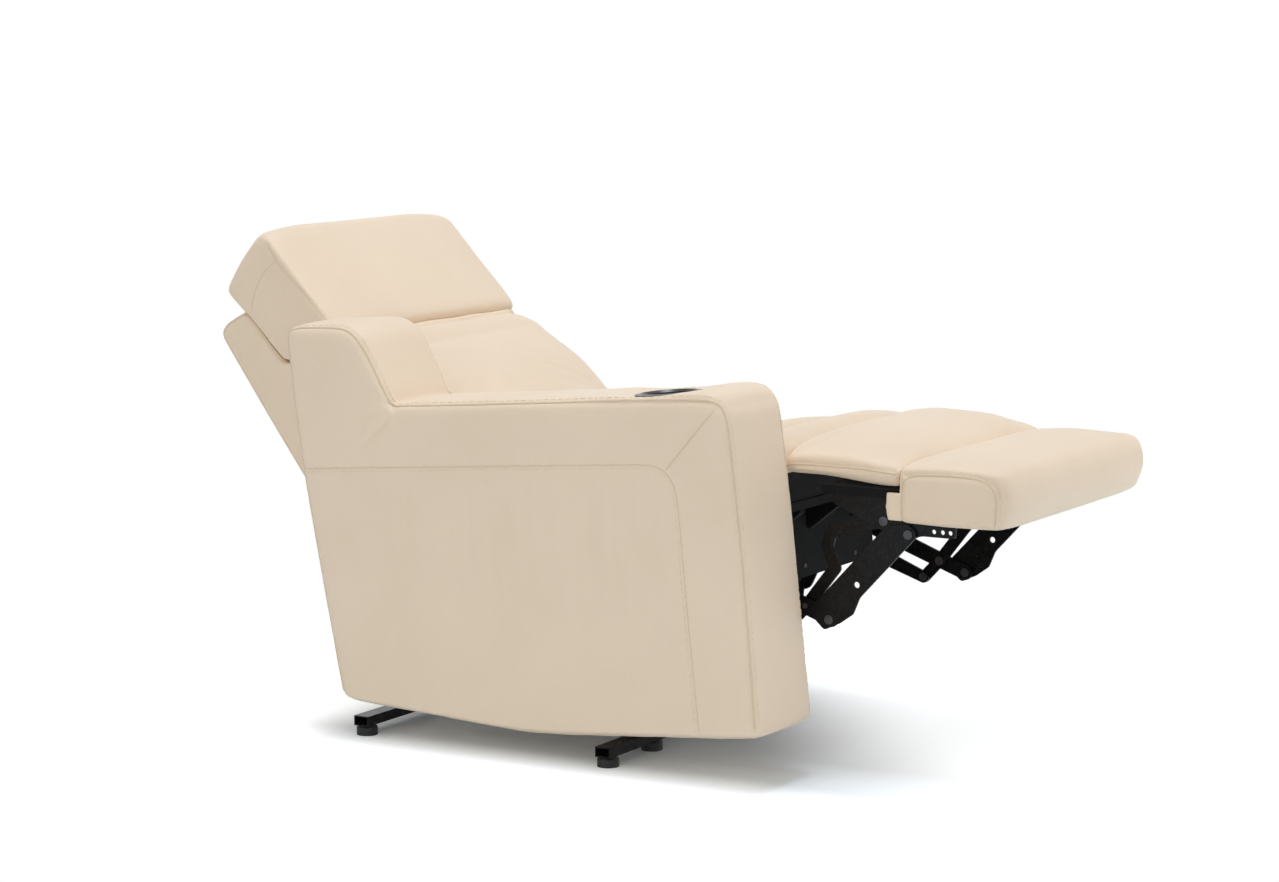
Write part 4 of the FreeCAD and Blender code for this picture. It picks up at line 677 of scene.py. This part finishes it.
# Longer at the ends, square at the wing's corner, drawn in at the wing's foot, and sunk behind the switch panel
def arm_longer(co):
    y, z = seat_yz(co)
    panel_lo, panel_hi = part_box("switch_panel")
    rim, full = PANEL_RIM
    hidden = step(co[:, 0], -0.235, -0.228)
    for axis in (1, 2):
        hidden = hidden * step(co[:, axis], panel_lo[axis] + rim, panel_lo[axis] + full)
        hidden = hidden * (1 - step(co[:, axis], panel_hi[axis] - full, panel_hi[axis] - rim))
    corner = 0.008 * np.exp(-((y - WING_CORNER[0]) ** 2 + (z - WING_CORNER[1]) ** 2) / 24.0 ** 2)
    notch = 0.006 * np.exp(-((y - WING_NOTCH[0]) ** 2 + (z - WING_NOTCH[1]) ** 2) / 16.0 ** 2)
    out = along(SEAT_REAR, fuller(y)) + along(0.6 * SEAT_REAR + 0.8 * SEAT_UP, corner)
    return out - along(ALONG_X, PANEL_SINK * hidden) + along(0.6 * SEAT_REAR - 0.8 * SEAT_UP, notch)


arm = copy_of("arm_body", "arm_upholstery", 0.006)
relax(arm, 4)
subdivide(arm)
soften(arm, [rounded(arm_line(x, points, 0)) for x, points in
             ((ARM_WELT, ARM_EDGE), (ARM_WELT, ARM_REAR), (ARM_INNER, ARM_EDGE))],
       groove=0.0024, width=0.006, puff=0.003, reach=0.035, undulate=0.0006, size=0.34, seed=4,
       keep=clear_of_fittings(coords(arm)), extra=arm_pulls, shift=arm_longer,
       puckers=[(seat(-405, 470, 618), 0.035, 0.0009, 5, 0.4), (seat(-215, 470, 618), 0.035, 0.0009, 5, 1.4),
                (seat(-405, -165, 600), 0.03, 0.0006, 5, 0.0)])
traced = [laid_on(tree_of(arm), resample(line, 0.004))[0]
          for line in (rounded(arm_line(ARM_OUTER, ARM_PANEL)), arm_line(ARM_OUTER, ARM_MITRE))]
TREES.clear()
soften(arm, traced, groove=0.0012, width=0.0036)
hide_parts("arm_body")
dress(arm, LEATHER, "seat")
seam(arm, "arm_edge_welt", "seat", arm_line(ARM_WELT, ARM_EDGE), 0.0019, stitch=0.008)
seam(arm, "arm_rear_welt", "seat", arm_line(ARM_WELT, ARM_REAR))
seam(arm, "arm_inner_welt", "seat", arm_line(ARM_INNER, ARM_EDGE), stitch=-0.008)
seam(arm, "arm_panel_seam", "seat", arm_line(ARM_OUTER, ARM_PANEL), 0.0011, -0.0002, stitch=0.006)
seam(arm, "arm_mitre_seam", "seat", arm_line(ARM_OUTER, ARM_MITRE), 0.0012, 0.0001)


# Seat cushion and front bolster, which don't swell where they rest on the frame
def rests(co, no):
    return (no[:, 2] < -0.55).astype(float)


SEAT_END = [(-30, 420), (-34, 470), (-28, 492), (60, 482), (200, 450), (460, 434), (462, 412)]
seat_ends = both_ends(seat, SEAT_END)
cushion = pad("seat_cushion", "seat_cushion_leather", "seat", 0.006, seat_ends, rests, 0.75,
              undulate=0.0008, size=0.3, seed=8)
seams(cushion, "seat_end_welt", "seat", seat_ends)

BOLSTER_END = [(-138, 410), (-146, 450), (-140, 492), (-112, 498), (-60, 494), (-52, 420)]
bolster_ends = both_ends(seat, BOLSTER_END)
bolster = pad("front_bolster", "front_bolster_leather", "seat", 0.005, bolster_ends, rests, 0.8,
              undulate=0.001, size=0.2, seed=12, extra=lambda co, no: 0.002)
seams(bolster, "bolster_end_welt", "seat", bolster_ends)

# Black dust cloth over the bolster's lower front
CLOTH_LIFT, CLOTH_THICK, CLOTH_TOP, CLOTH_REAR = 0.0006, 0.0014, 456, -70
y, z = seat_yz(coords(bolster))
kept = (z < CLOTH_TOP) & (y < CLOTH_REAR)
used, faces = {}, []
for p in bolster.data.polygons:
    if all(kept[v] for v in p.vertices):
        faces.append([used.setdefault(v, len(used)) for v in p.vertices])
verts = [bolster.data.vertices[v].co + bolster.data.vertices[v].normal * CLOTH_LIFT for v in used]
dust = new_mesh("front_dust_cloth", verts, faces)
solid = dust.modifiers.new("solid", "SOLIDIFY")
solid.thickness = CLOTH_THICK
solid.offset = 1.0
apply_modifiers(dust)
dress(dust, CLOTH, "seat")


# Back cushion, fullest along its far side. Its rear and its upper edge stay while it swells.
def back_pins(co, no):
    rear = no @ (BACK_REAR / np.linalg.norm(BACK_REAR)) > 0.6
    return np.maximum(rear.astype(float), step(back_yz(co)[1], 700, 745))


def crown(co, no):
    _, z = back_yz(co)
    front = step(-no @ BACK_REAR, 0.3, 0.8)
    rise = step(co[:, 0] * 1000, 50, 380) * step(z, 480, 610) * (1 - step(z, 722, 757))
    return 0.003 + 0.0105 * front * rise


# Its upper edge stands up to meet the headrest, and its far upper corner is drawn in
def tuck(co):
    y, z = back_yz(co)
    x = co[:, 0] * 1000
    inside = step(x, LEFT, LEFT + 60) * (1 - step(x, RIGHT - 70, RIGHT))
    stand = 0.006 * step(z, 715, 752) * (1 - step(y, 505, 525)) * inside
    far = step(x, RIGHT - 50, RIGHT) * step(z, 705, 750)
    return along(BACK_UP, stand) - along(ALONG_X + 0.9 * BACK_UP, far * 0.009)


BACK_END = [(480, 486), (356, 486), (380, 545), (414, 640), (482, 745), (526, 748)]
back_ends = both_ends(back, BACK_END)
back_pad = pad("back_cushion", "back_cushion_leather", "back", 0.006, back_ends, back_pins, 0.75, cap=0.024,
               undulate=0.0010, size=0.26, seed=21, shift=tuck, extra=crown)
seams(back_pad, "back_end_welt", "back", back_ends)


# Headrest, hanging down to the back cushion and fuller at its rear and its far lower corner
def hang_down(co):
    y, z = back_yz(co)
    lower = -0.004 * (1 - step(z, 790, 830)) * (1 - step(y, 500, 540))
    far = 0.005 * step(co[:, 0] * 1000, 360, 400) * (1 - step(z, 830, 900))
    return along(BACK_UP, lower) + along(BACK_REAR, 0.005 * step(y, 570, 640)) + along(ALONG_X - 0.5 * BACK_UP, far)


HEAD_END = [(560, 790), (478, 788), (482, 817), (502, 887), (522, 955), (522, 1010), (536, 1009)]
HEAD_SIDE = [(522, 958), (551, 958), (593, 936), (622, 905)]
head_ends = both_ends(back, HEAD_END)
head = pad("headrest_pad", "headrest_leather", "headrest", 0.006, head_ends, None, 0.9,
           groove=0.0009, width=0.004, puff=0.0025, reach=0.06, undulate=0.0008, size=0.3, seed=33, shift=hang_down)
seams(head, "headrest_end_welt", "headrest", head_ends, 0.0011, -0.0006, stitch=0.005)
seams(head, "headrest_side_seam", "headrest", both_ends(back, HEAD_SIDE), 0.001, -0.0004, corners=3)


# Calf pad
def leg_st(co):
    d = co - np.array(leg(0, 0, 0))
    return d @ LEG_OUT * 1000, d @ LEG_UP * 1000


def calf_pins(co, no):
    return ((no @ LEG_UP < -0.5) | (np.abs(no[:, 0]) > 0.75)).astype(float)


# Thinner towards the seat, where the underside climbs, and fuller at its outer and far edges
def calf_taper(co):
    s, t = leg_st(co)
    climb = 0.62 * (1 - 0.75 * step(s, 60, 215))
    under = np.maximum(0, -6 - t)
    near = np.exp(-((co[:, 0] * 1000 - LEG_LEFT) / 12) ** 2)
    top = step(t, -12, 0)
    far = step(co[:, 0] * 1000, 320, 400)
    rise = step(s, 60, 200)
    up = along(LEG_UP, climb * under / 1000 + 0.004 * top * far * rise)
    out = along(LEG_OUT, 0.007 * top * step(s, 170, 225))
    return up + out + along(ALONG_X, near * under * 0.5 / 1000 + 0.006 * far * rise)


LEG_LEFT, LEG_RIGHT = LEFT + 15, RIGHT - 5
CALF_END = [(6, -26), (4, 0), (40, 3), (120, 4), (200, 1), (226, -3)]
calf_ends = both_ends(leg, CALF_END, LEG_LEFT, LEG_RIGHT)
calf = pad("calf_pad", "calf_pad_leather", "legrest", 0.0055, calf_ends, calf_pins, 0.75, last=9, shift=calf_taper,
           undulate=0.0009, size=0.24, seed=41,
           puckers=[(leg(-190, 8, 6), 0.05, 0.0012, 5, 0.3), (leg(400, 8, 6), 0.05, 0.0012, 5, 1.3),
                    (leg(-190, 222, 4), 0.035, 0.001, 5, 0.9)])
seams(calf, "calf_end_welt", "legrest", calf_ends, stitch=0.007)


# Foot pad, longer at its end and with its underside raised
def fill_end(co):
    s, t = leg_st(co)
    return along(LEG_OUT, 0.008 * step(s, 330, 400)) + along(LEG_UP, 0.003 * (1 - step(t, -75, -45)))


FOOT_END = [(232, -80), (232, -2), (300, 2), (372, 2), (398, -10), (406, -30), (402, -80)]
foot_ends = both_ends(leg, FOOT_END, LEG_LEFT, LEG_RIGHT)
foot = pad("foot_pad", "foot_pad_leather", "legrest", 0.0055, foot_ends, None, 0.9,
           groove=0.0034, width=0.006, puff=0.002, undulate=0.0006, size=0.3, seed=52, shift=fill_end,
           extra=lambda co, no: 0.003 + 0.002 * step(no @ LEG_UP, 0.4, 0.95))
seams(foot, "foot_end_welt", "legrest", foot_ends, 0.0019, stitch=-0.007)

# Shell behind the back, and the strips beside the seat
SHELL_END = [(636, 262), (662, 420), (681, 588), (694, 750), (704, 905), (690, 922), (640, 919), (629, 905),
             (606, 800)]
shell_ends = both_ends(back, SHELL_END, LEFT + 2, RIGHT - 2)
shell = pad("back_shell", "back_shell_leather", "back", 0.006, shell_ends, None, 0.9,
            groove=0.0022, width=0.006, puff=0.0015, reach=0.03, undulate=0.001, size=0.3, seed=61,
            extra=lambda co, no: 0.004 * step(no @ BACK_REAR, 0.1, 0.7))
seams(shell, "shell_welt", "back", shell_ends, 0.0019)

pad("seat_side_fillers", "seat_side_leather", "seat", 0.005, None, None, 0.9, first=2,
    undulate=0.0008, size=0.2, seed=70)


# Leather strip of constant profile that bends across a hinge
STRIP_COLUMNS, STRIP_HALF, STRIP_WAVE = 60, 0.0013, 23.0


def strip(name, line, x0, x1, wave):
    n = len(line)
    out = [Vector((0, -t.z, t.y)) for t in (heading(line, i) for i in range(n))]
    verts = []
    for k in range(STRIP_COLUMNS + 1):
        x = x0 + (x1 - x0) * k / STRIP_COLUMNS
        for side in (1, -1):
            for i, p in enumerate(line):
                swing = wave * math.sin(x / STRIP_WAVE) * math.sin(math.pi * i / (n - 1))
                verts.append(Vector((x / 1000, p.y, p.z)) + out[i] * (STRIP_HALF * side + swing))
    ring = list(range(n)) + [n + i for i in reversed(range(n))]
    faces = []
    for k in range(STRIP_COLUMNS):
        a, b = k * 2 * n, (k + 1) * 2 * n
        faces += [(a + p, a + q, b + q, b + p) for p, q in zip(ring, ring[1:] + ring[:1])]
    faces.append(tuple(reversed(ring)))
    faces.append(tuple(STRIP_COLUMNS * 2 * n + j for j in ring))
    o = new_mesh(name, verts, faces)
    o.data.materials.append(LEATHER)
    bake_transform(o)


NECK = [back(0, y, z) for y, z in
        ((512, 783), (492, 783), (476, 779), (469, 770), (472, 760), (486, 755), (508, 755))]
strip("headrest_gusset", rounded(NECK, 3), LEFT + 12, RIGHT - 28, 0.0008)

# The seat's cover runs on up under the back cushion
CROTCH = [seat(0, y, z) for y, z in ((446, 420), (466, 418), (490, 424), (516, 440), (540, 464))]
CROTCH += [back(0, 438, 484), back(0, 440, 494)]
strip("seat_back_gusset", resample(rounded(CROTCH, 3), 0.004), LEFT + 8, RIGHT - 8, 0.0012)

# The foot box's cover wraps back under the calf pad at both ends
FLAP = [(203, -34), (233, -34), (233, -81), (206, -81), (202, -60)]
for k, ends in enumerate(((-189.4, -181.5), (391.5, 399.4))):
    n = len(FLAP)
    faces = [tuple(range(n)), tuple(range(2 * n - 1, n - 1, -1))]
    faces += [(i, i + n, (i + 1) % n + n, (i + 1) % n) for i in range(n)]
    flap = new_mesh("foot_box_flap%d" % (k + 1), [leg(x, s, t) for x in ends for s, t in FLAP], faces)
    remesh(flap, 0.0025)
    relax(flap, 3)
    dress(flap, LEATHER, "legrest")

# Domed nail heads along the front board, each a little off its place
NAIL_SIDES = 10
NAIL_RINGS = ((0.0045, -0.0004), (0.0043, 0.0007), (0.0028, 0.0016))
NAIL_TOP = 0.0019
out = (seat(0, -100, 0) - seat(0, 0, 0)).normalized()
up = (seat(0, 0, 100) - seat(0, 0, 0)).normalized()
verts, faces = [], []
for x in (-130, -30, 70, 170, 270, 330):
    for z in (262, 386):
        c = seat(x + 9 * math.sin(x * 12.9 + z), -62.0, z + 5 * math.cos(x + z))
        base = len(verts)
        for r, h in NAIL_RINGS:
            for j in range(NAIL_SIDES):
                a = 2 * math.pi * j / NAIL_SIDES
                verts.append(c + out * h + (up * math.cos(a) + Vector((1, 0, 0)) * math.sin(a)) * r)
        verts.append(c + out * NAIL_TOP)
        faces += ring_faces(base, len(NAIL_RINGS), NAIL_SIDES)
        rim = base + (len(NAIL_RINGS) - 1) * NAIL_SIDES
        faces += [(rim + j, rim + (j + 1) % NAIL_SIDES, rim + NAIL_SIDES) for j in range(NAIL_SIDES)]
        faces.append(tuple(base + j for j in reversed(range(NAIL_SIDES))))
tacks = new_mesh("front_board_tacks", verts, faces)
tacks.data.materials.append(ZINC)
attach(tacks, "seat")


# Studio
def area(name, place, target, size, power, colour=(1, 1, 1), shadow=True):
    data = bpy.data.lights.new(name, "AREA")
    data.use_shadow = shadow
    data.shape = "RECTANGLE"
    data.size, data.size_y = size
    data.energy = power
    data.color = colour
    o = bpy.data.objects.new(name, data)
    scene.collection.objects.link(o)
    o.location = place
    o.rotation_euler = (Vector(target) - Vector(place)).to_track_quat("-Z", "Y").to_euler()


COOL = (0.94, 0.99, 1.07)
WHITE = (1, 1, 1, 1)
area("key_light", (0.0, -0.1, 4.6), (0.0, -0.1, 0.0), (1.3, 1.3), 70, COOL)
area("top_light", (0.0, -0.6, 4.5), (0, 0, 0.3), (5.0, 5.0), 22, COOL)
area("front_light", (-0.4, -4.8, 2.2), (0, 0, 0.5), (3.2, 2.6), 13)
area("side_light", (-5.6, -1.0, 2.2), (0, 0, 0.5), (3.4, 2.8), 55)
area("foot_fill", (1.0, -2.3, 0.7), (0.1, -0.8, 0.45), (1.0, 0.8), 7.5, shadow=False)
area("rear_fill", (-3.6, 2.4, 1.2), (-0.25, 0.7, 0.75), (1.4, 1.0), 7, shadow=False)

# The surround is white to the camera, in metal and through clear things, and a soft light otherwise
world = bpy.data.worlds.new("studio")
scene.world = world
world.use_nodes = True
wt = world.node_tree
wt.nodes.clear()
ray = add(wt, "LightPath").outputs
ambient = add(wt, "Background", {"Color": WHITE, "Strength": 0.41})
white = add(wt, "Background", {"Color": WHITE, "Strength": 1.0})
bounced = sums(wt, "MAXIMUM", ray["Is Glossy Ray"], ray["Is Transmission Ray"])
shown = sums(wt, "MAXIMUM", ray["Is Camera Ray"], bounced)
surround = add(wt, "MixShader", {0: shown, 1: ambient.outputs[0], 2: white.outputs[0]})
add(wt, "OutputWorld", {0: surround.outputs[0]})

# Pale floor that fades to the white surround away from the chair. To the camera it also carries painted light, a
# glow that brightens it a little where the chair's shadow should end: under the legrest, beyond the arm, and behind
# the chair.
FLOOR_HALF = 14
FADE_FROM, FADE_TO = 0.6, 1.5
floor = new_mesh("floor", [(x * FLOOR_HALF, y * FLOOR_HALF, 0) for x, y in ((-1, -1), (1, -1), (1, 1), (-1, 1))],
                 [(0, 1, 2, 3)], False)
fm, ft, fb = material("floor_white")
feed(ft, fb, {"Base Color": (0.885, 0.94, 0.975, 1), "Roughness": 0.85, "Specular IOR Level": 0.1})


def eased(source, start, stop, low, high):
    return add(ft, "MapRange", {"Value": source, "From Min": start, "From Max": stop, "To Min": low, "To Max": high},
               interpolation_type="SMOOTHSTEP").outputs["Result"]


place = add(ft, "NewGeometry").outputs["Position"]
camera_ray = add(ft, "LightPath").outputs["Is Camera Ray"]
axes = add(ft, "SeparateXYZ", {0: place}).outputs
# Painted light: a camera-only glow on the floor whose strength grows with place, clearing part of the chair's cast
# shadow
slope = add(ft, "Math", {0: axes["Y"], 1: -1.05, 2: axes["X"]}, operation="MULTIPLY_ADD").outputs[0]
painted_glow_strength = sums(ft, "ADD", eased(slope, 0.13, 0.73, 0.0, 0.62), eased(axes["X"], -0.44, -0.30, 0.48, 0.0))
painted_glow_strength = sums(ft, "ADD", painted_glow_strength, eased(axes["Y"], 0.39, 0.58, 0.0, 0.6))
# The painted glow, added to the floor's own shading for camera rays only
lift = add(ft, "Emission", {"Color": WHITE, "Strength": sums(ft, "MULTIPLY", camera_ray, painted_glow_strength)})
far_off = add(ft, "VectorMath", {0: place}, operation="LENGTH").outputs["Value"]
fade = sums(ft, "MULTIPLY", eased(far_off, FADE_FROM, FADE_TO, 0.0, 1.0), camera_ray)
near = add(ft, "AddShader", {0: fb.outputs[0], 1: lift.outputs[0]})
glow = add(ft, "Emission", {"Color": WHITE, "Strength": 1.0})
ground = add(ft, "MixShader", {0: fade, 1: near.outputs[0], 2: glow.outputs[0]})
feed(ft, next(n for n in ft.nodes if n.type == "OUTPUT_MATERIAL"), {0: ground.outputs[0]})
floor.data.materials.append(fm)

# Camera at the photograph's place. Focal length and photograph are in pixels, and the horizon is its top edge.
FOCAL, PHOTO_WIDTH, HALF_HEIGHT, SENSOR = 3350.0, 1279.0, 441.0, 36.0
CAMERA, AZIMUTH = (-5.169, -2.878, 1.300), -59.7
cam_data = bpy.data.cameras.new("camera")
cam_data.sensor_width = SENSOR
cam_data.lens = SENSOR * FOCAL / PHOTO_WIDTH
cam_data.clip_start, cam_data.clip_end = 0.1, 60.0
cam = bpy.data.objects.new("camera", cam_data)
scene.collection.objects.link(cam)
cam.location = (CAMERA[0], CAMERA[1] - CENTRE / 1000, CAMERA[2])
pitch, azimuth = math.atan(HALF_HEIGHT / FOCAL), math.radians(AZIMUTH)
ahead = Vector((-math.sin(azimuth) * math.cos(pitch), math.cos(azimuth) * math.cos(pitch), -math.sin(pitch)))
cam.rotation_euler = ahead.to_track_quat("-Z", "Y").to_euler()
scene.camera = cam
scene.view_settings.view_transform = "Standard"
